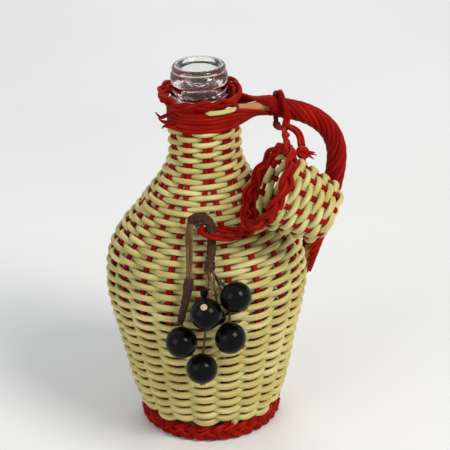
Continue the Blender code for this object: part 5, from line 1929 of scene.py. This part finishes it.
@dataclass
class BerryBunch:
    """The taped twig bent over the loop, its stems, the berries and a bud."""

    shape: Shape
    finishes: Finishes
    strand: GeometryTree
    cup: HangingCup
    twig_radius: float = 0.0020
    stem_radius: float = 0.00055
    berry_radius: float = 0.0077
    berry_stretch: float = 0.97
    small_share: float = 0.44
    bud_radius: float = 0.0019
    bud_stretch: float = 1.6
    bud_place: Place = (-0.0091, -0.0540, 0.0960)
    calyx_radius: float = 0.0014
    calyx_scales: int = 7
    scale_half: float = 0.0005
    scale_thickness: float = 0.0002
    drop: float = 0.0586
    width: float = 0.0225
    wrap_pitch: float = 0.0027
    bare_low: float = 0.1008
    bare_high: float = 0.1240
    tips: tuple[Place, ...] = (
        (0.536, -0.426, -0.724), (0.0, 0.0, 0.0), (0.776, -0.363, -0.513),
        (-0.2, 0.6, -0.75), (-0.06, -0.43, -0.90),
    )
    scar_way: Place = (-0.200, -0.545, 0.812)
    scar_radius: float = 0.0019
    scar_depth: float = 0.0012
    scar_rows: Shares = ((1.0, -0.0009), (1.0, -0.00035), (0.8, -0.00010), (0.5, 0.00000), (0.0, 0.00005))
    berries: tuple[Place, ...] = (
        (0.395, 0.400, 1.26), (-0.145, 0.485, 1.60), (0.277, 0.705, 1.26),
        (-0.606, 0.730, 1.26), (-0.248, 0.990, 1.26),
    )
    stems: tuple[tuple[float, ...], ...] = (
        (2, 0, 0.127, 0.29, 2.0), (-2, 0, -0.101, 0.285, 4.0), (2, -2, 0.066, 0.42, 2.0),
        (0, 0, -0.167, 0.66, 2.0), (0, -2, -0.018, 0.34, 4.0), (2, 2, 0.316, 0.5, 1.7),
    )
    stem_seat: float = 0.0003
    stem_root: float = 0.0015
    thick_stem_end: float = 0.0009
    arch_places: tuple[Place, ...] = (
        (-0.0176, -0.0503, 0.0911), (-0.0152, -0.0479, 0.1010), (-0.0137, -0.0412, 0.1130),
        (-0.0126, -0.0366, 0.1203), (-0.0105, -0.0341, 0.1257), (-0.0075, -0.0353, 0.1266),
        (-0.0043, -0.0364, 0.1259), (-0.0023, -0.0382, 0.1228), (-0.0024, -0.0407, 0.1189),
        (-0.0033, -0.0440, 0.1132), (-0.0047, -0.0470, 0.1084), (-0.0054, -0.0487, 0.1045),
    )
    leg_halves: tuple[float, float] = (0.0016, 0.0024)
    bend_half: float = 0.0023
    stalk_half: float = 0.00048
    stalk_spread: float = 0.00125
    torn_half: float = 0.00075
    torn_ends: Shares = (
        (0.0010, 0.0050), (0.0024, 0.0072), (0.0036, 0.0086), (0.0046, 0.0064), (0.0052, 0.0044),
    )

    def at(self, side_share: float, drop_share: float, lift: float) -> Vector:
        """Gives a place beside and below the loop's leg.

        Args:
            side_share: how far it lies to the side, as a share of the bunch's width.
            drop_share: how far it lies below, as a share of the bunch's drop.
            lift: how far it lies off the jacket.

        Returns:
            The place.
        """
        height = self.cup.loop_height - self.drop * drop_share
        azimuth = self.cup.loop_leg + self.width * side_share / float(self.shape.radius(height))
        return self.shape.spot(azimuth, height, lift)

    def twig_route(self) -> np.ndarray:
        """Gives the twig's middle line."""
        low = self.at(-0.674, 0.62, 1.5 * self.twig_radius)
        return smooth_route([low, *self.arch_places], 160)

    def wrapped(self, line: np.ndarray, first: float, last: float, scraps: tuple[int, ...]) -> list[Strand]:
        """Gives a length of tape wound round a line, with ridges at its turns and torn scraps at its ends.

        Args:
            line: the middle line.
            first: half the width at its first end.
            last: half the width at its last end.
            scraps: the ends that are torn, 0 for the first and -1 for the last.

        Returns:
            The tape and its scraps.
        """
        draw = np.random.default_rng(len(line))
        faces = np.array([tuple(self.shape.face(Vector(point))) for point in line])
        run = run_of(line)
        ridge = (run / self.wrap_pitch + 0.2 * np.sin(run * 900.0)) % 1.0
        bulge = np.interp(run, np.linspace(0.0, run[-1], 14), draw.uniform(-1.0, 1.0, 14))
        half = (first + (last - first) * run / run[-1]) * (1.0 + 0.16 * (ridge - 0.5) + 0.10 * bulge)
        strands = [Strand(line, half, faces)]
        for end in scraps:
            inner = line[8 if end == 0 else -9]
            along = line[end] - inner
            along /= np.linalg.norm(along)
            side = np.cross(along, faces[end])
            for share in np.linspace(-1.0, 1.0, 7):
                root = inner + side * share * half[end] * 0.75 + faces[end] * 0.0004
                reach = np.linalg.norm(line[end] - inner) + draw.uniform(0.0002, 0.0022)
                spread = side * share * draw.uniform(0.0002, 0.0010) + faces[end] * draw.uniform(0.0, 0.0008)
                points = smooth_route([root, root + along * reach * 0.6, root + along * reach + spread], 12)
                thin = tapered(len(points), 0.0007, start=1.0, end=0.15, reach=0.6)
                strands.append(Strand(points, thin, faces[end]))
        return strands

    def build_twig(self, route: np.ndarray) -> None:
        """Builds the twig: tape over the bend and one leg, bare stalks on the other, and tape at its end.

        Args:
            route: the twig's middle line.
        """
        faces = np.array([tuple(self.shape.face(Vector(point))) for point in route])
        high = int(route[:, 2].argmax())
        low = int(np.argmin(np.abs(route[:high, 2] - self.bare_low)))
        bend = int(np.argmin(np.abs(route[:high, 2] - self.bare_high)))
        tape = self.wrapped(route[: low + 1], *self.leg_halves, (0, -1))
        tape += self.wrapped(route[bend:], self.bend_half, self.bend_half, (-1,))
        form = StrandForm(seed=13.0, sides=16, flatness=0.8, wobble=0.0004, wobble_scale=520.0)
        parts = [self.strand.shape("twig_tape", guide_mesh(tape), form.inputs(self.finishes.tape))]
        bare = slice(low - 5, bend + 8)
        step = np.gradient(route, axis=0)
        side = np.cross(faces, step)
        side /= np.linalg.norm(side, axis=1)[:, None]
        stalks = []
        for k, share in enumerate((-1.0, -0.55, 0.0, 0.5, 1.0)):
            sway = 0.00022 * np.sin(run_of(route[bare]) * 260.0 + 2.1 * k)
            shift = side[bare] * (share * self.stalk_spread + sway)[:, None]
            shift += faces[bare] * (0.0003 * (k % 2))
            stalks.append(Strand(route[bare] + shift, self.stalk_half, faces[bare]))
        form = StrandForm(seed=14.0, sides=8, wobble=0.0001, wobble_scale=200.0)
        parts.append(self.strand.shape("stalks", guide_mesh(stalks), form.inputs(self.finishes.stem)))
        root = route[(bend + high) // 2]
        torn = []
        for k, (across, fall) in enumerate(self.torn_ends):
            foot = root + np.array([across, 0.0, -fall]) + faces[high] * fall * 0.5
            middle = (root + foot) / 2 + np.array([0.0007 * math.sin(2.0 * k), 0.0, 0.0])
            points = smooth_route([root, middle, foot], 14)
            thin = tapered(len(points), self.torn_half, start=1.0, end=0.2, reach=0.7)
            torn.append(Strand(points, thin, faces[high]))
        form = StrandForm(seed=14.0, sides=8, wobble=0.0004, wobble_scale=200.0)
        parts.append(self.strand.shape("torn", guide_mesh(torn), form.inputs(self.finishes.dark)))
        put("taped_twig", joined(parts), Body.BUNCH, ["twig"])

    def ball(self, middle: Vector, radius: float, stretch: float, axis: Vector) -> Mesh:
        """Makes a berry's ball.

        Args:
            middle: its middle.
            radius: its radius across the axis.
            stretch: how long it is along the axis, as a share of its width.
            axis: the direction of its own Z.

        Returns:
            The dressed ball.
        """
        rings, segments = 24, 40
        profile = [(0.0, -radius * stretch)]
        for k in range(1, rings):
            angle = math.pi * k / rings
            profile.append((radius * math.sin(angle), -radius * stretch * math.cos(angle)))
        profile.append((0.0, radius * stretch))
        return dressed(aimed(turned(profile, segments), middle, axis), self.finishes.berry)

    def build_berries(self) -> list[Vector]:
        """Builds the berries, the small one and the bud.

        Returns:
            The middles of the five berries, of the small one and of the bud.
        """
        middles = [self.at(side, drop, lift * self.berry_radius) for side, drop, lift in self.berries]
        for index, middle in enumerate(middles):
            scarred = not any(self.tips[index])
            tip = Vector(self.scar_way if scarred else self.tips[index]).normalized()
            parts = [self.ball(middle, self.berry_radius, self.berry_stretch, tip)]
            parts.append(self.scar(middle, tip) if scarred else self.calyx(middle, tip))
            put(f"black_berry_{index + 1}", joined(parts), Body.BUNCH, [f"berry_{index + 1}"])
        small_radius = self.berry_radius * self.small_share
        small = self.at(0.112, 0.575, small_radius + self.stem_seat)
        mesh = self.ball(small, small_radius, 1.0, UP)
        put("black_berry_small", mesh, Body.BUNCH, ["berry_small"])
        bud = Vector(self.bud_place)
        mesh = self.ball(bud, self.bud_radius, self.bud_stretch, UP)
        put("black_bud", mesh, Body.BUNCH, ["bud"])
        return [*middles, small, bud]

    def calyx(self, middle: Vector, tip: Vector) -> Mesh:
        """Makes the dried calyx at a berry's tip, a ragged cup of small scales.

        Args:
            middle: the berry's middle.
            tip: the direction of its tip.

        Returns:
            The dressed calyx.
        """
        radius, half = self.calyx_radius, self.scale_half
        foot = self.berry_radius * self.berry_stretch - 0.0004
        solid = bmesh.new()
        for k in range(self.calyx_scales):
            angle = 2 * math.pi * k / self.calyx_scales
            out = Vector((math.cos(angle), math.sin(angle), 0.0))
            side = Vector((-math.sin(angle), math.cos(angle), 0.0))
            base = [out * radius * 0.25 - side * half, out * radius * 0.25 + side * half]
            root = [v + Vector((0, 0, foot)) for v in base]
            mid = [out * radius * 0.95 + side * s * half + Vector((0, 0, foot + 0.0005)) for s in (-1, 1)]
            top = out * radius * (0.8 + 0.1 * (k % 3)) + Vector((0, 0, foot + 0.0014 - 0.0002 * (k % 2)))
            spots = [*root, *mid, top]
            inner = [v - out * self.scale_thickness for v in spots]
            verts = [solid.verts.new(v) for v in spots + inner]
            for face in CALYX_FACES:
                solid.faces.new([verts[i] for i in face])
        bmesh.ops.recalc_face_normals(solid, faces=solid.faces)
        mesh = bpy.data.meshes.new("calyx")
        solid.to_mesh(mesh)
        solid.free()
        return dressed(aimed(mesh, middle, tip), self.finishes.calyx)

    def scar(self, middle: Vector, tip: Vector) -> Mesh:
        """Makes the round dry scar on the berry that shows where it was picked.

        Args:
            middle: the berry's middle.
            tip: the direction of the scar.

        Returns:
            The dressed scar.
        """
        high = self.berry_radius * self.berry_stretch
        profile = [(0.0, high - self.scar_depth)]
        profile += [(self.scar_radius * share, high + lift) for share, lift in self.scar_rows]
        return dressed(aimed(turned(profile, 28), middle, tip), self.finishes.scar)

    def build_stems(self, route: np.ndarray, spots: list[Vector]) -> None:
        """Builds the thin stems from the twig's ends to what they carry.

        Args:
            route: the twig's middle line.
            spots: the middles of the berries, of the small one and of the bud.
        """
        step = self.stem_radius + self.stem_seat
        seat = Vector(route[-1]) + Vector(route[-1] - route[-2]).normalized() * step
        small, bud = spots[5:]
        carried = [
            (spots[0], self.berry_radius),
            (bud, self.bud_radius * 1.5),
            (small, self.berry_radius * self.small_share),
            (spots[4], self.berry_radius),
            (spots[1], self.berry_radius),
            (spots[2], self.berry_radius),
        ]
        for index, (x_steps, y_steps, side, drop, lift) in enumerate(self.stems):
            start = seat + Vector((x_steps * step, y_steps * step, 0.0))
            self.stem(index + 1, start, self.at(side, drop, lift * step), *carried[index])
        start = Vector(route[0]) + Vector(route[0] - route[1]).normalized() * step
        self.stem(7, start, self.at(-0.639, 0.64, 4 * step), spots[3], self.berry_radius)

    def stem(self, number: int, start: Vector, passing: Vector, middle: Vector, radius: float) -> None:
        """Builds one stem, which ends just inside what it carries.

        Args:
            number: its number in its name.
            start: where it leaves the twig.
            passing: a place that it goes through.
            middle: the middle of what it carries.
            radius: the radius of what it carries.
        """
        end = middle - (middle - passing).normalized() * (radius - self.stem_seat)
        first = start + (start - passing).normalized() * self.stem_root
        points = smooth_route([first, start, passing, end], 40)
        faces = np.array([tuple(self.shape.face(Vector(point))) for point in points])
        finish = self.finishes.dark if number == 1 else self.finishes.stem
        last = self.thick_stem_end if number == 1 else self.stem_radius
        half = np.linspace(self.stem_radius, last, len(points))
        form = StrandForm(seed=float(number), sides=8, wobble=0.00015, wobble_scale=200.0)
        mesh = self.strand.shape("stem", guide_mesh([Strand(points, half, faces)]), form.inputs(finish))
        put(f"dry_stem_{number}", mesh, Body.BUNCH, [f"stem_{number}"])

    def build(self) -> None:
        """Builds and dresses the bunch."""
        route = self.twig_route()
        self.build_twig(route)
        spots = self.build_berries()
        self.build_stems(route, spots)


# The studio


@dataclass(frozen=True)
class Lamp:
    """A soft square lamp."""

    name: str
    place: Place
    size: float
    power: float
    color: Rgb


@dataclass
class Studio:
    """Plain pale floor, soft lamps and the camera."""

    turn: float = math.radians(-8.0)
    camera_place: Place = (0.0, -0.756, 0.4596)
    right: Place = (0.99921806, -0.02705662, -0.02883052)
    top: Place = (0.03758302, 0.42351371, 0.90510975)
    lens: float = 132.8
    sensor: float = 36.0
    lamp_aim: Place = (0.0, 0.0, 0.10)
    floor_reach: float = 4.0
    lamps: tuple[Lamp, ...] = (
        Lamp("key", (0.75, -0.85, 1.15), 0.55, 17.5, (1.0, 0.97, 0.92)),
        Lamp("fill", (-1.1, -0.7, 0.75), 0.9, 6.0, (0.94, 0.97, 1.0)),
        Lamp("back", (0.2, 1.2, 1.0), 0.8, 6.0, (1.0, 1.0, 1.0)),
    )

    def build_camera(self) -> None:
        """Puts the camera at the photograph's place."""
        data = bpy.data.cameras.new("camera")
        data.sensor_width = self.sensor
        data.lens = self.lens
        data.clip_start = 0.01
        camera = bpy.data.objects.new("camera", data)
        bpy.context.scene.collection.objects.link(camera)
        right = Vector(self.right).normalized()
        back = right.cross(Vector(self.top)).normalized()
        top = back.cross(right)
        turn = Matrix.Rotation(self.turn, 4, "Z")
        basis = Matrix((right, top, back)).transposed().to_4x4()
        camera.matrix_world = turn @ Matrix.Translation(Vector(self.camera_place)) @ basis
        bpy.context.scene.camera = camera

    def build_lamp(self, lamp: Lamp) -> None:
        """Hangs one lamp that faces the bottle.

        Args:
            lamp: its size, place and light.
        """
        data = bpy.data.lights.new(lamp.name, "AREA")
        data.shape = "SQUARE"
        data.size = lamp.size
        data.energy = lamp.power
        data.color = lamp.color
        hung = bpy.data.objects.new(lamp.name, data)
        bpy.context.scene.collection.objects.link(hung)
        hung.location = lamp.place
        way = Vector(self.lamp_aim) - Vector(lamp.place)
        hung.rotation_euler = way.to_track_quat("-Z", "Y").to_euler()

    def build(self) -> None:
        """Builds the studio."""
        self.build_camera()
        for lamp in self.lamps:
            self.build_lamp(lamp)
        world = bpy.data.worlds.new("studio")
        bpy.context.scene.world = world
        world.use_nodes = True
        world.node_tree.nodes.clear()
        tree = Tree(world.node_tree)
        path = tree.add("ShaderNodeLightPath")
        seen = tree.math("MAXIMUM", path.outputs["Is Camera Ray"], path.outputs["Is Glossy Ray"])
        seen = tree.math("MAXIMUM", seen, path.outputs["Is Transmission Ray"])
        soft = tree.add("ShaderNodeBackground", None, {"Color": (0.92, 0.95, 1.0, 1.0), "Strength": 0.42})
        pale = tree.add("ShaderNodeBackground", None, {"Color": (0.86, 0.86, 0.86, 1.0), "Strength": 1.0})
        both = tree.add("ShaderNodeMixShader", None, {0: seen, 1: soft, 2: pale})
        tree.add("ShaderNodeOutputWorld", None, {"Surface": both})
        finish = PlainFinish(
            "pale floor", color=(0.80, 0.80, 0.79), deep=(0.77, 0.77, 0.76), roughness=0.75, scale=3.0,
        )
        mesh = bpy.data.meshes.new("floor")
        reach = self.floor_reach
        corners = [(-reach, -reach, 0), (reach, -reach, 0), (reach, reach, 0), (-reach, reach, 0)]
        mesh.from_pydata(corners, [], [(0, 1, 2, 3)])
        floor = bpy.data.objects.new("floor", dressed(mesh, finish.build()))
        bpy.context.scene.collection.objects.link(floor)
        bpy.context.scene.view_settings.view_transform = "Standard"


def main() -> None:
    """Builds and dresses every part of the scene."""
    logging.basicConfig(level=logging.INFO, format="%(name)s: %(message)s")
    finishes = make_finishes()
    weave, strand = weave_tree(), strand_tree()
    shape = Shape()
    Studio().build()
    GlassBottle(shape, finishes).build()
    WovenJacket(shape, finishes, weave, strand).build()
    Borders(shape, finishes, strand).build()
    Handle(shape, finishes, strand).build()
    cup = HangingCup(finishes, weave, strand)
    cup.build()
    BerryBunch(shape, finishes, strand, cup).build()


if __name__ == "__main__":
    main()
